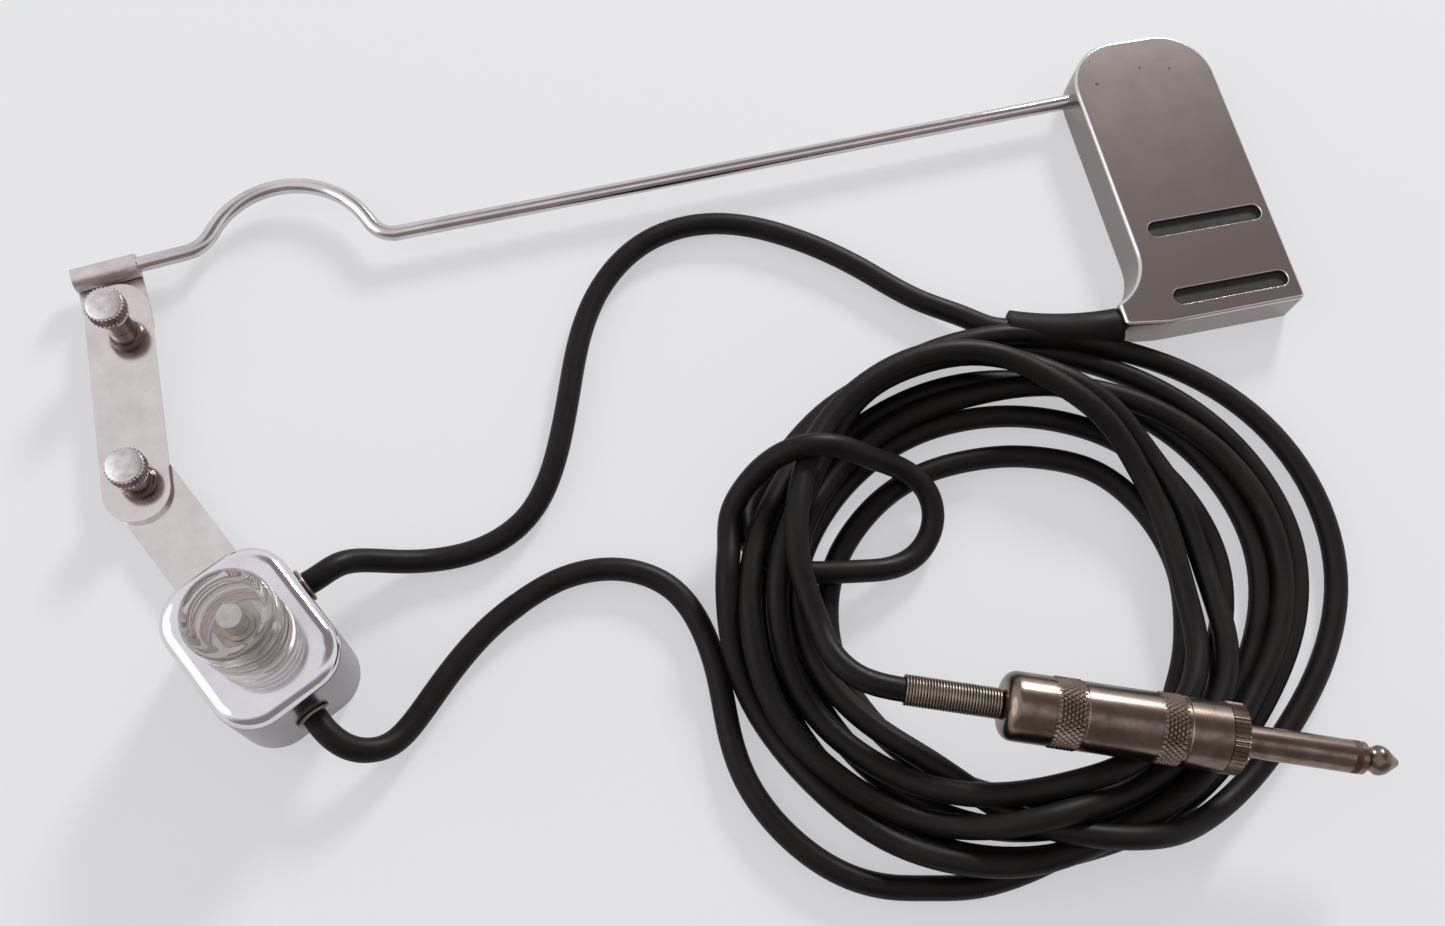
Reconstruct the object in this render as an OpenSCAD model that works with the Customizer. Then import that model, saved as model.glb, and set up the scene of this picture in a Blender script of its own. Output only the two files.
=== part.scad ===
// Clamp-on guitar pickup: a flat magnetic pickup on a bent rod, a two-screw
// clamp linkage, a volume control box with a clear knob, and a coiled lead
// with a quarter inch phone plug. Millimetres, +Z up, +X along the rod's
// straight part, origin below the middle of the control box, all on z = 0.

/* [Rod] */
// Diameter of the bent mounting rod
rod_d = 3.3; // [2.6:0.1:3.9]
// Length of the straight stretch that the clamp slides on
rod_end_len = 23; // [20:0.5:28]
// Angle between that stretch and the long straight part
rod_end_turn = 4; // [0:0.5:6]
// Radius of the hump's middle arc
hump_r = 18.5; // [17:0.1:20]
// Length of the long straight part
rod_len = 167; // [140:1:180]

/* [Pickup cover] */
// Width of the cover
cover_w = 34.6; // [32:0.1:40]
// Length of the cover from round end to front wall
cover_len = 72.4; // [68:0.2:90]
// Height of the cover
cover_h = 9.5; // [9.5:0.1:13]
// Sheet thickness of the cover
cover_t = 1.0; // [0.6:0.1:1.2]
// Radius of the corners at the round end
cover_end_r = 12.4; // [10:0.2:14]
// Radius of the top edge
cover_edge_r = 0.9; // [0.5:0.1:1.2]
// How far the foot reaches out to the side
foot_reach = 8.1; // [7:0.1:10]
// Depth of the foot's side face
foot_face = 6; // [5:0.1:8]
// Radius of the hollow curve above the foot
foot_r = 12; // [9:0.5:14]
// Angle of the pickup to the rod
pickup_turn = -2; // [-4:0.5:4]

/* [Slots] */
// Distance between the centres of a slot's round ends
slot_run = 23.8; // [18:0.2:26]
// Width of a slot
slot_w = 3.8; // [3:0.1:5]
// Distance from the front wall to the first slot's middle
slot_front = 5.6; // [5.4:0.1:6.5]
// Distance between the two slots
slot_pitch = 17; // [16:0.2:20]

/* [Clamp] */
// Sheet thickness of the rolled clamp
clamp_t = 0.8; // [0.6:0.1:1]
// Length of the rolled tube, which is the plates' width as well
clamp_w = 13.2; // [12:0.1:14]
// Distance from the rod's axis to the upper screw
clamp_reach = 12.3; // [12:0.1:16]
// Clearance around turning and sliding pins
fit_gap = 0.05; // [0.03:0.01:0.08]
// Height of the nuts below the plates
nut_h = 2; // [1.6:0.1:2.1]
// Diameter of the nuts
nut_d = 6.6; // [6:0.1:8]

/* [Links] */
// Thickness of the clamp plate
plate_t = 1.4; // [1:0.1:2]
// Distance between the two screws
screw_pitch = 34.3; // [30:0.1:44]
// How far the clamp plate reaches past each screw
plate_past = 9.4; // [8:0.1:9.5]
// Angle of the clamp plate
plate_turn = -92; // [-100:1:-85]
// Thickness of the control arm
arm_t = 1.2; // [1:0.1:1.4]
// Distance from the lower screw to the control box's middle
arm_len = 47; // [42:0.5:60]
// Angle of the control arm
arm_turn = -65; // [-75:1:-55]

/* [Thumbscrews] */
// Diameter of the knurled heads
head_d = 8; // [7:0.1:9]
// Height of the knurled heads
head_h = 3.6; // [3:0.1:5]
// Diameter of the neck that bears on the plate
neck_d = 5.4; // [4.6:0.1:6]
// Neck showing above the plate on the upper screw
neck_upper = 6.2; // [3.4:0.1:8]
// Neck showing above the plate on the lower screw
neck_lower = 3.7; // [3.4:0.1:8]
// Diameter of the threaded ends
thread_d = 3.5; // [3:0.1:4]
// Number of knurls around a head
knurls = 40; // [30:2:48]

/* [Control box] */
// Length of the box along the arm
box_len = 31.2; // [30:0.2:40]
// Width of the box
box_w = 25.4; // [24:0.2:32]
// Height of the box
box_h = 23.6; // [22:0.2:30]
// Radius of the box's upright corners
box_r = 8; // [6:0.1:9]
// Radius of the box's top edge
box_edge_r = 2.6; // [1.5:0.1:3]
// Sheet thickness of the box
box_t = 1; // [0.8:0.1:1.4]

/* [Potentiometer] */
// Diameter of the potentiometer's can
pot_d = 16.5; // [14:0.1:18]
// Height of the can
pot_h = 7; // [6:0.1:9]
// Diameter of the threaded bushing
bushing_d = 6.4; // [6:0.1:8]
// Height of the bushing above the box
bushing_h = 3.2; // [3:0.1:4]
// Diameter of the control shaft
shaft_d = 4.4; // [3.5:0.1:5]

/* [Knob] */
// Diameter of the knob
knob_d = 16.4; // [15:0.1:19]
// Height of the knob
knob_h = 14.6; // [12:0.1:18]
// Number of rings turned into the knob's side
knob_rings = 3; // [2:1:4]
// Acrylic left above the shaft's end
knob_cap = 2.2; // [1.5:0.1:4]

/* [Lead] */
// Diameter of the rubber covered lead
lead_d = 4.8; // [4.4:0.1:5]
// Diameter of the boot at the pickup
boot_d = 8.4; // [7.4:0.1:8.6]
// Length of the boot
boot_len = 25; // [22:0.5:26]
// Outer radius of the coil
coil_r = 54.5; // [50:0.5:58.5]
// Inner radius of the coil
coil_hole_r = 33; // [30:0.5:40]
// Height of the coil
coil_h = 9.6; // [8:0.1:10.2]
// Outer diameter of the two lead eyelets
eyelet_d = 7; // [6.4:0.1:7.4]

/* [Plug] */
// Diameter of the plug's barrel
barrel_d = 13.4; // [12:0.1:14]
// Length of the barrel
barrel_len = 43; // [40:0.5:46]
// Length of the knurled front collar
collar_len = 3; // [2:0.1:5]
// Diameter of the contact, which is the jack's size
contact_d = 6.35; // [6.2:0.05:6.5]
// Length of the contact from the collar to its tip
contact_len = 31.5; // [30:0.1:33]
// Diameter of the spring's wire
spring_wire = 0.5; // [0.4:0.05:0.8]
// Length of the spring
spring_len = 19; // [14:0.5:24]
// Number of turns in the spring
spring_turns = 33; // [24:1:36]

/* [Hidden] */
$fn = 64;
eps = 0.01;
bend_lap = 0.05;

function turned(p, a) = [p[0] * cos(a) - p[1] * sin(a), p[0] * sin(a) + p[1] * cos(a)];

// A bent bar's path is a list of [straight length, turn, radius of the turn]
function path_heading(path, h, i) =
    i == 0 ? h : path_heading(path, h, i - 1) + path[i - 1][1];
function path_spot(path, from, h, i) =
    i == 0 ? from
    : let (a = path_heading(path, h, i - 1), b = path_heading(path, h, i),
           r = path[i - 1][2] * sign(path[i - 1][1]))
      path_spot(path, from, h, i - 1) + path[i - 1][0] * [cos(a), sin(a)]
      + r * [sin(b) - sin(a), cos(a) - cos(b)];

// Levels of the stacked sheet metal: nuts, then arm or clamp, then plate
plate_z = nut_h + arm_t;
plate_top = plate_z + plate_t;
roll_r = rod_d / 2 + fit_gap;
rod_z = plate_z + roll_r;

// The control box is at the origin. The screws, the clamp and the rod's end
// follow from it, back along the links.
tube_past = 0.3;
box_at = [0, 0];
lower_at = box_at - turned([arm_len, 0], arm_turn);
upper_at = lower_at - turned([screw_pitch, 0], plate_turn);
clamp_at = upper_at + turned([0, clamp_reach], rod_end_turn);
rod_from = clamp_at - turned([clamp_w / 2 - tube_past, 0], rod_end_turn);
arm_w = clamp_w + 0.4;
arm_in = 12;
rivet_d = 2.6;
rivet_spots = [for (side = [-1, 1]) [arm_len - box_len / 2 + arm_in - 4, side * 3.6]];
collar_h = 1.2;
groove_h = 0.5;
thread_rise = 0.3;

// The rod, from its end in the clamp to its tip in the pickup
rod_rise = 52;
rod_fall = 66;
rod_path = [
    [rod_end_len, rod_rise - rod_end_turn, 7],
    [2.2, -rod_rise - rod_fall, hump_r],
    [2.6, rod_fall, 5.5],
    [rod_len, 0, 1]];
rod_tip = path_spot(rod_path, rod_from, rod_end_turn, len(rod_path));
rod_in = 9;
pickup_at = rod_tip - [rod_in, 0];

// The cover, measured from the hole that the rod enters
cover_top = 11.4;
cover_front = cover_top - cover_len;
corner_r = 1.2;
foot_lift = 1.2;
front_bend = [3.7, 30, 8];
foot_angle = acos(1 - foot_reach / (foot_r + corner_r));
foot_top = cover_front + foot_face;
base_h = 1.2;
ceiling = cover_h - cover_t;
socket_from = [3, -6];
socket_size = [10, 10];
screw_spots = [[socket_from[0] + 2, -4], [socket_from[0] + 8.3, 1.8]];
slots = [for (i = [0, 1]) [cover_w / 2 + 1, cover_front + slot_front + i * slot_pitch]];
bobbin_w = 2 * (slot_front - cover_t - 2 * fit_gap);
bobbin_run = 2 * (cover_w - cover_t - 2 * fit_gap - slots[0][0]) - bobbin_w;
flange_t = 0.8;

// The boot leaves the foot's side face and bends away from the coil
boot_from = pickup_at + turned([-foot_reach, foot_top - 2.8], pickup_turn);
boot_z = boot_d / 2 + 0.3;
boot_bend = 20;
boot_path = [[0, -boot_bend, boot_len * 180 / (PI * boot_bend)]];
boot_turn = 180 + pickup_turn;
boot_exit = path_spot(boot_path, boot_from, boot_turn, 1);

// The potentiometer hangs below the box's top, the knob stands above it
box_inside = box_h - box_t;
pot_nut_h = 1.4;
knob_gap = 0.7;
knob_z = box_h + knob_gap;
shaft_top = knob_z + knob_h - knob_cap;
ring_r = 0.7;

// The eyelets, as [place along its wall, height]
side_eyelet = [-5, 12];
end_eyelet = [0, 9.5];
eyelet_t = 0.8;
barrel_gap = 0.02;
eyelet_barrel = eyelet_d - 1.4;
function box_point(u, v) = box_at + turned([u, v], arm_turn);
side_exit = box_point(side_eyelet[0], box_w / 2 + eyelet_t);
end_exit = box_point(box_len / 2 + eyelet_t, end_eyelet[0]);

// The coil and the plug that lies on it
coil_at = [149.5, -26.5];
coil_z = 0.1;
plug_at = [132, -46];
plug_turn = -23;
plug_z = coil_h + barrel_d / 2 + 0.1;
spring_r = lead_d / 2 + fit_gap + spring_wire;
bands = [[0.215, 0.35], [0.685, 0.81]];
sleeve_len = 22;
insulator_len = 1.4;
shoulder_len = 1.1;
tip_len = contact_len - sleeve_len - insulator_len;

// The routes of the leads, from each gland to the next
lead_z = lead_d / 2 + 0.1;
pickup_route = [
    concat(side_exit, side_eyelet[1]),
    concat(box_point(side_eyelet[0], box_w / 2 + eyelet_t + 3), side_eyelet[1]),
    [16.5, 13, 10.8], [21, 13.6, 7.8], [27, 12.8, 4.6], [34, 12, lead_z],
    [43, 12, lead_z], [52, 15.2, lead_z], [58.6, 21.5, lead_z], [64, 31, lead_z],
    [68.7, 42, lead_z], [73.5, 53, lead_z], [80.5, 63.5, lead_z],
    [91.5, 71.8, lead_z], [103.5, 74.2, lead_z], [115, 71.8, lead_z],
    [127, 65, lead_z], [138, 55.5, lead_z], [147.5, 45.5, 2.8], [156, 38.6, 3.8],
    concat(boot_exit + turned([4, 0], boot_turn - boot_bend), boot_z),
    concat(boot_exit, boot_z)];
output_route = [
    concat(end_exit, end_eyelet[1]),
    concat(box_point(box_len / 2 + eyelet_t + 3, end_eyelet[0]), end_eyelet[1]),
    [10.7, -20.8, 8.6], [14.3, -22.6, 6.6], [18.9, -22.2, 4.3], [23.6, -19, 2.8],
    [28.4, -14.6, lead_z], [33.6, -10, lead_z], [40.5, -4.9, lead_z],
    [48, -1, lead_z], [57, 1.9, lead_z], [65.6, 2, lead_z], [72.8, -0.4, lead_z],
    [78.8, -5.6, lead_z], [82.2, -14, lead_z], [83, -25, lead_z], [82.2, -36, lead_z],
    [82.8, -45.6, lead_z], [85.6, -53.9, lead_z], [90, -61.2, lead_z],
    [96.1, -67.6, lead_z], [103.6, -72.4, lead_z], [111.4, -74.9, lead_z],
    [119.5, -75.05, lead_z]];
tie_route = [
    [130.4, -9.8, 3], [133.8, -6.6, 3.4], [135, -2.6, 6], [134.6, 0, 10],
    [132.8, 3, 12.6], [128.4, 6.8, 12.4], [122, 9.6, 12.4], [116, 11.6, 12.4],
    [110, 12.6, 12.4], [104, 11.8, 11.8], [98.4, 8.8, 8.6], [94.4, 4, 5],
    [92, -2.4, 2.9], [90.9, -9, lead_z], [90.9, -16, lead_z], [92.4, -24, lead_z]];
spring_end = plug_at - turned([spring_len, 0], plug_turn);
plug_route = [
    concat(plug_at, plug_z), concat(spring_end, plug_z), [108.9, -35.4, 15.4],
    [105, -30, 13.6], [103.6, -23.6, 12.3], [104.2, -17, 12.2]];

// ---------- shapes that repeat ----------

module at(spot, z, turn) {
    translate([spot[0], spot[1], z]) rotate(turn) children();
}

// Points of an arc round c, from its first step, or the one given, to its end
function arc(c, r, a0, a1, steps, first = 0) =
    [for (i = [first:steps]) let (a = a0 + (a1 - a0) * i / steps)
        c + r * [cos(a), sin(a)]];

// Heights and set-ins of a rounded top edge
function edge_rings(h, r, steps) =
    [for (i = [0:steps]) let (a = 90 * i / steps) [h - r + r * sin(a), r - r * cos(a)]];

// A closed skin over a stack of outlines, each given with its height
module skin(rings) {
    n = len(rings);
    m = len(rings[0][1]);
    points = [for (ring = rings) for (p = ring[1]) [p[0], p[1], ring[0]]];
    walls = [for (i = [0:n - 2]) for (k = [0:m - 1])
        let (j = (k + 1) % m)
        [i * m + k, (i + 1) * m + k, (i + 1) * m + j, i * m + j]];
    ends = [[for (k = [0:m - 1]) k], [for (k = [m - 1:-1:0]) (n - 1) * m + k]];
    polyhedron(points, concat(walls, ends), convexity = 6);
}

// A round tube swept along a route, as one closed polyhedron
function unit(v) = v / norm(v);
module swept_tube(route, r, sides) {
    n = len(route);
    points = [for (i = [0:n - 1])
        let (t = unit(unit(route[min(i + 1, n - 1)] - route[max(i - 1, 0)])),
             side = unit(cross([0, 0, 1], t)), up = cross(t, side))
        for (k = [0:sides - 1])
            let (a = 360 * k / sides) route[i] + r * (cos(a) * side + sin(a) * up)];
    walls = [for (i = [0:n - 2]) for (k = [0:sides - 1])
        let (j = (k + 1) % sides, q = i * sides)
        [q + k, q + sides + k, q + sides + j, q + j]];
    ends = [[for (k = [0:sides - 1]) k],
            [for (k = [sides - 1:-1:0]) (n - 1) * sides + k]];
    polyhedron(points, concat(walls, ends), convexity = 10);
}

// A round bar bent along a path that lies level. The straights run on a
// little into the bends, which are a hair thinner, so that no two surfaces
// of the union only touch.
module bent_bar(path, from, h, d) {
    for (i = [0:len(path) - 1])
        at(path_spot(path, from, h, i), 0, path_heading(path, h, i)) {
            turn = path[i][1];
            if (path[i][0] > 0)
                translate([i > 0 ? -bend_lap : 0, 0, 0])
                    rotate([0, 90, 0]) cylinder(d = d, h = path[i][0] + bend_lap
                        + (i > 0 ? bend_lap : 0) - (turn == 0 ? bend_lap : 0));
            if (turn != 0)
                translate([path[i][0], sign(turn) * path[i][2], 0])
                    mirror([0, turn > 0 ? 1 : 0, 0])
                        rotate(90 - abs(turn))
                            rotate_extrude(angle = abs(turn))
                                translate([path[i][2], 0]) circle(d = d - 0.02);
        }
}

module obround(run, w) {
    square([run, w], center = true);
    for (side = [-1, 1])
        translate([side * run / 2, 0]) circle(d = w);
}

// A disc with a straight knurl round its rim
module knurled(d, h, count) {
    tooth = PI * d / count / 2;
    cylinder(d = d - tooth, h = h);
    for (i = [0:count - 1])
        rotate(360 * i / count)
            translate([(d - tooth) / 2, 0, 0])
                rotate(45)
                    translate([-tooth / 2, -tooth / 2, 0])
                        cube([tooth, tooth, h]);
}

// ---------- rod and pickup ----------

module mounting_rod() {
    color("gainsboro")
        translate([0, 0, rod_z]) bent_bar(rod_path, rod_from, rod_end_turn, rod_d);
}

module at_pickup() {
    at(pickup_at, 0, pickup_turn) children();
}

// A hole along the rod, in line with it and not with the pickup
module rod_hole(from, run) {
    rotate(-pickup_turn)
        translate([from, 0, rod_z])
            rotate([0, 90, 0]) cylinder(d = rod_d + 2 * fit_gap, h = run);
}

// The cover's outline, set in by s all round
function cover_outline(s) = concat(
    arc([cover_w - cover_end_r, cover_top - cover_end_r], cover_end_r - s, 0, 90, 12),
    arc([cover_end_r, cover_top - cover_end_r], cover_end_r - s, 90, 180, 12),
    arc([-foot_r, foot_top + (foot_r + corner_r) * sin(foot_angle)],
        foot_r + s, 0, -foot_angle, 10),
    arc([corner_r - foot_reach, foot_top], corner_r - s, 180 - foot_angle, 180, 3, 1),
    arc([corner_r - foot_reach, cover_front + corner_r + foot_lift],
        corner_r - s, 180, 270 - front_bend[2], 4),
    arc([front_bend[0], cover_front + front_bend[1]], front_bend[1] - s,
        270 - front_bend[2], 270, 3),
    arc([cover_w - corner_r, cover_front + corner_r], corner_r - s, 270, 360, 4));

// What the cover encloses, with gap left all round
module cover_inside(gap, z, h) {
    translate([0, 0, z]) linear_extrude(h) polygon(cover_outline(cover_t + gap));
}

// The skin starts below the table and is cut off level with it
module pickup_cover() {
    color("#8b807d") at_pickup() difference() {
        skin(concat([[-1, cover_outline(0)]],
            [for (e = edge_rings(cover_h, cover_edge_r, 4)) [e[0], cover_outline(e[1])]]));
        translate([-foot_reach - 2, cover_front - 2, -2])
            cube([foot_reach + cover_w + 4, cover_len + 4, 2]);
        cover_inside(0, -2, ceiling + 2);
        for (spot = slots)
            translate([spot[0], spot[1], ceiling / 2])
                linear_extrude(cover_h) obround(slot_run, slot_w);
        rod_hole(-1, 2 + cover_t);
        translate([-foot_reach - 1, foot_top - 2.8, boot_z])
            rotate([0, 90, 0]) cylinder(d = lead_d - 1.6, h = 2 + cover_t);
    }
}

module pickup_base() {
    color("#9a9490") at_pickup() difference() {
        cover_inside(fit_gap, 0, base_h);
        for (spot = screw_spots)
            translate([spot[0], spot[1], -eps]) cylinder(d = 2.2, h = base_h + 1);
    }
}

// Two spools, one below each slot, whose tops show through the cover
module pickup_bobbins() {
    color("#1c1a19") at_pickup()
        for (spot = slots)
            translate([spot[0], spot[1], base_h]) difference() {
                union() {
                    linear_extrude(flange_t) obround(bobbin_run, bobbin_w);
                    linear_extrude(ceiling - base_h - fit_gap) obround(slot_run, slot_w);
                    translate([0, 0, ceiling - base_h - fit_gap - flange_t])
                        linear_extrude(flange_t) obround(bobbin_run, bobbin_w);
                }
                translate([0, 0, -eps]) linear_extrude(ceiling - base_h - flange_t)
                    square([slot_run + 2 * eps, slot_w - 1.6], center = true);
            }
}

module pickup_windings() {
    color("#7a3b1c") at_pickup()
        for (spot = slots)
            translate([spot[0], spot[1], base_h + flange_t + fit_gap])
                linear_extrude(ceiling - base_h - 2 * flange_t - 3 * fit_gap) difference() {
                    obround(bobbin_run, bobbin_w - 0.8);
                    obround(slot_run, slot_w + 2 * fit_gap);
                }
}

module pickup_magnets() {
    color("#55565a") at_pickup()
        for (spot = slots)
            translate([spot[0], spot[1], base_h])
                linear_extrude(ceiling - base_h - flange_t - 2 * fit_gap)
                    square([slot_run, slot_w - 1.6 - 2 * fit_gap], center = true);
}

// The block inside the cover that the rod is fixed in
module rod_socket() {
    color("#b59a54") at_pickup() difference() {
        translate([socket_from[0], socket_from[1], base_h])
            cube([socket_size[0], socket_size[1], ceiling - base_h - fit_gap]);
        rod_hole(socket_from[0] - 2, rod_in + 2 * fit_gap + 2 - socket_from[0]);
        for (spot = screw_spots)
            translate([spot[0], spot[1], base_h - eps]) cylinder(d = 2.2, h = 3);
    }
}

module base_screws() {
    color("silver") at_pickup()
        for (spot = screw_spots)
            translate([spot[0], spot[1], 0.1]) cylinder(d = 2.1, h = base_h + 2.4);
}

module cable_boot() {
    color("#1c1815")
        translate([0, 0, boot_z]) bent_bar(boot_path, boot_from, boot_turn, boot_d);
}

// ---------- clamp and links ----------

// A plate with its front edge rolled into a tube for the rod
module rod_clamp() {
    color("#cfc9cc") at(clamp_at, 0, rod_end_turn) difference() {
        union() {
            translate([-clamp_w / 2, 0, rod_z])
                rotate([0, 90, 0]) cylinder(r = roll_r + clamp_t, h = clamp_w);
            translate([-clamp_w / 2, -clamp_reach, plate_z - clamp_t])
                cube([clamp_w, clamp_reach, clamp_t]);
            translate([0, -clamp_reach, plate_z - clamp_t])
                cylinder(d = clamp_w, h = clamp_t);
        }
        translate([-clamp_w / 2 - 1, 0, rod_z])
            rotate([0, 90, 0]) cylinder(r = roll_r, h = clamp_w + 2);
        translate([-clamp_w / 2 - 1, -roll_r - clamp_t - 1, plate_z])
            cube([clamp_w + 2, roll_r + clamp_t + 1, 0.3]);
        translate([0, -clamp_reach, 0])
            cylinder(d = thread_d + 2 * fit_gap, h = plate_z + 1);
    }
}

module round_nut(h) {
    difference() {
        cylinder(d = nut_d, h = h);
        translate([0, 0, -1]) cylinder(d = thread_d + 2 * fit_gap, h = h + 2);
    }
}

module upper_nut() {
    color("silver") at(upper_at, 0, 0) round_nut(plate_z - clamp_t);
}

module lower_nut() {
    color("silver") at(lower_at, 0, 0) round_nut(nut_h);
}

module clamp_plate() {
    color("#d3cdd0") at(upper_at, plate_z, plate_turn) difference() {
        linear_extrude(plate_t)
            translate([screw_pitch / 2, 0])
                obround(screw_pitch + 2 * plate_past - clamp_w, clamp_w);
        for (x = [0, screw_pitch])
            translate([x, 0, -1]) cylinder(d = thread_d + 2 * fit_gap, h = plate_t + 2);
    }
}

// A shoulder screw: thread, neck, collar, groove and knurled head
module thumbscrew(neck) {
    translate([0, 0, thread_rise]) cylinder(d = thread_d, h = plate_top - thread_rise);
    translate([0, 0, plate_top]) {
        cylinder(d = neck_d, h = neck);
        translate([0, 0, neck - groove_h - collar_h])
            cylinder(d = neck_d + 1.6, h = collar_h);
        translate([0, 0, neck]) {
            knurled(head_d, head_h - 0.3, knurls);
            cylinder(d = head_d - 0.8, h = head_h);
        }
    }
}

module upper_thumbscrew() {
    color("#b9b2b4") at(upper_at, 0, 0) thumbscrew(neck_upper);
}

module lower_thumbscrew() {
    color("#b9b2b4") at(lower_at, 0, 0) thumbscrew(neck_lower);
}

module control_arm() {
    color("#d3cdd0") at(lower_at, nut_h, arm_turn) difference() {
        union() {
            cylinder(d = arm_w, h = arm_t);
            translate([0, -arm_w / 2, 0])
                cube([arm_len - box_len / 2 + arm_in, arm_w, arm_t]);
        }
        translate([0, 0, -1]) cylinder(d = thread_d + 2 * fit_gap, h = arm_t + 2);
        for (spot = rivet_spots)
            translate([spot[0], spot[1], -1]) cylinder(d = rivet_d + 2 * barrel_gap, h = arm_t + 2);
    }
}

module arm_rivets() {
    color("silver") at(lower_at, 0, arm_turn)
        for (spot = rivet_spots)
            translate([spot[0], spot[1], 0]) {
                translate([0, 0, 0.1]) cylinder(d = rivet_d, h = plate_z - 0.1);
                translate([0, 0, plate_z]) cylinder(d = rivet_d + 1.8, h = 0.8);
            }
}

// ---------- control box ----------

module at_box() {
    at(box_at, 0, arm_turn) children();
}

// The box's outline, set in by s all round
function box_outline(s) =
    let (x = box_len / 2 - box_r, y = box_w / 2 - box_r)
    concat(arc([x, y], box_r - s, 0, 90, 10), arc([-x, y], box_r - s, 90, 180, 10),
        arc([-x, -y], box_r - s, 180, 270, 10), arc([x, -y], box_r - s, 270, 360, 10));

// Stands children on each eyelet's place, facing out of the wall
module at_eyelets() {
    translate([side_eyelet[0], box_w / 2, side_eyelet[1]])
        rotate([-90, 0, 0]) children();
    translate([box_len / 2, end_eyelet[0], end_eyelet[1]])
        rotate([0, 90, 0]) children();
}

module control_housing() {
    color("#dcd8db") at_box() difference() {
        skin(concat([[0, box_outline(0)]],
            [for (e = edge_rings(box_h, box_edge_r, 6)) [e[0], box_outline(e[1])]]));
        translate([0, 0, -eps]) linear_extrude(box_inside + eps) polygon(box_outline(box_t));
        translate([-box_len / 2 - 1, -arm_w / 2 - 0.1, -eps])
            cube([box_t + 2, arm_w + 0.2, plate_z + 0.1]);
        translate([0, 0, box_inside - 1])
            cylinder(d = bushing_d + 2 * barrel_gap, h = box_t + 2);
        at_eyelets()
            translate([0, 0, -box_t - 1])
                cylinder(d = eyelet_barrel + 2 * barrel_gap, h = box_t + 2);
    }
}

module control_base() {
    color("#8a8588") at_box() difference() {
        linear_extrude(nut_h) polygon(box_outline(box_t + fit_gap));
        for (spot = rivet_spots)
            translate([spot[0] - arm_len, spot[1], -1])
                cylinder(d = rivet_d + 2 * barrel_gap, h = nut_h + 2);
    }
}

module lead_eyelets() {
    color("#a08a55") at_box() at_eyelets() difference() {
        union() {
            cylinder(d = eyelet_d - eyelet_t, h = eyelet_t);
            translate([0, 0, eyelet_t / 2]) rotate_extrude()
                translate([(eyelet_d - eyelet_t) / 2, 0]) circle(d = eyelet_t);
            translate([0, 0, -box_t - 0.6]) cylinder(d = eyelet_barrel, h = box_t + 1);
        }
        translate([0, 0, -box_t - 1]) cylinder(d = lead_d - 0.8, h = box_t + 3);
    }
}

module pot_can() {
    color("#8f8a80") at_box()
        translate([0, 0, box_inside - pot_h]) cylinder(d = pot_d, h = pot_h);
}

module pot_bushing() {
    color("#b9a878") at_box() difference() {
        translate([0, 0, box_inside]) cylinder(d = bushing_d, h = box_t + bushing_h);
        translate([0, 0, box_inside + 0.4])
            cylinder(d = shaft_d + 2 * fit_gap, h = box_t + bushing_h);
    }
}

module pot_nut() {
    color("#b8b2ac") at_box() translate([0, 0, box_h]) difference() {
        cylinder(d = bushing_d + 3.6, h = pot_nut_h, $fn = 6);
        translate([0, 0, -1]) cylinder(d = bushing_d + 2 * barrel_gap, h = pot_nut_h + 2);
    }
}

module pot_shaft() {
    color("#c4beb6") at_box()
        translate([0, 0, box_inside + 0.4 + fit_gap])
            cylinder(d = shaft_d, h = shaft_top - box_inside - 0.4 - fit_gap);
}

// A clear knob turned with rings, hollow below for the nut
module control_knob() {
    color("#dfdedd", 0.4) at_box() translate([0, 0, knob_z]) difference() {
        union() {
            cylinder(d = knob_d, h = knob_h - 0.6);
            cylinder(d1 = knob_d, d2 = knob_d - 1.2, h = knob_h);
        }
        for (i = [1:knob_rings])
            translate([0, 0, i * knob_h / (knob_rings + 2)]) rotate_extrude()
                translate([knob_d / 2 + ring_r / 3, 0]) circle(r = ring_r);
        translate([0, 0, -1])
            cylinder(d = bushing_d + 4.6, h = bushing_h - knob_gap + 1.4);
        translate([0, 0, -1]) cylinder(d = shaft_d + 2 * barrel_gap, h = knob_h - knob_cap + 1);
    }
}

// ---------- leads ----------

module pickup_lead() {
    color("#1c1815") swept_tube(pickup_route, lead_d / 2, 10);
}

module output_lead() {
    color("#1c1815") swept_tube(output_route, lead_d / 2, 10);
}

module tie_loop() {
    color("#1c1815") swept_tube(tie_route, lead_d / 2, 8);
}

module plug_lead() {
    color("#1c1815") swept_tube(plug_route, lead_d / 2, 10);
}

module cable_coil() {
    r = lead_d / 2;
    color("#1c1815") at(coil_at, coil_z, 0) rotate_extrude() {
        translate([coil_hole_r + r, 0]) square([coil_r - coil_hole_r - lead_d, coil_h - coil_z]);
        translate([coil_hole_r, r]) square([coil_r - coil_hole_r, coil_h - coil_z - lead_d]);
        for (x = [coil_hole_r + r, coil_r - r])
            for (y = [r, coil_h - coil_z - r])
                translate([x, y]) circle(r = r);
    }
}

// ---------- plug ----------

// Places children on the plug's axis, x to the tip from the barrel's rear end
module at_plug(x) {
    at(plug_at, plug_z, plug_turn) translate([x, 0, 0]) rotate([0, 90, 0]) children();
}

module plug_spring() {
    pitch = (spring_len - spring_wire) / (spring_turns - 1);
    color("#6f675c") at_plug(-spring_len) rotate_extrude() {
        for (i = [0:spring_turns - 1])
            translate([spring_r - spring_wire / 2, spring_wire / 2 + i * pitch])
                circle(d = spring_wire, $fn = 16);
        translate([spring_r - spring_wire, spring_wire / 2])
            square([spring_wire / 2, spring_len - spring_wire]);
    }
}

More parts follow.
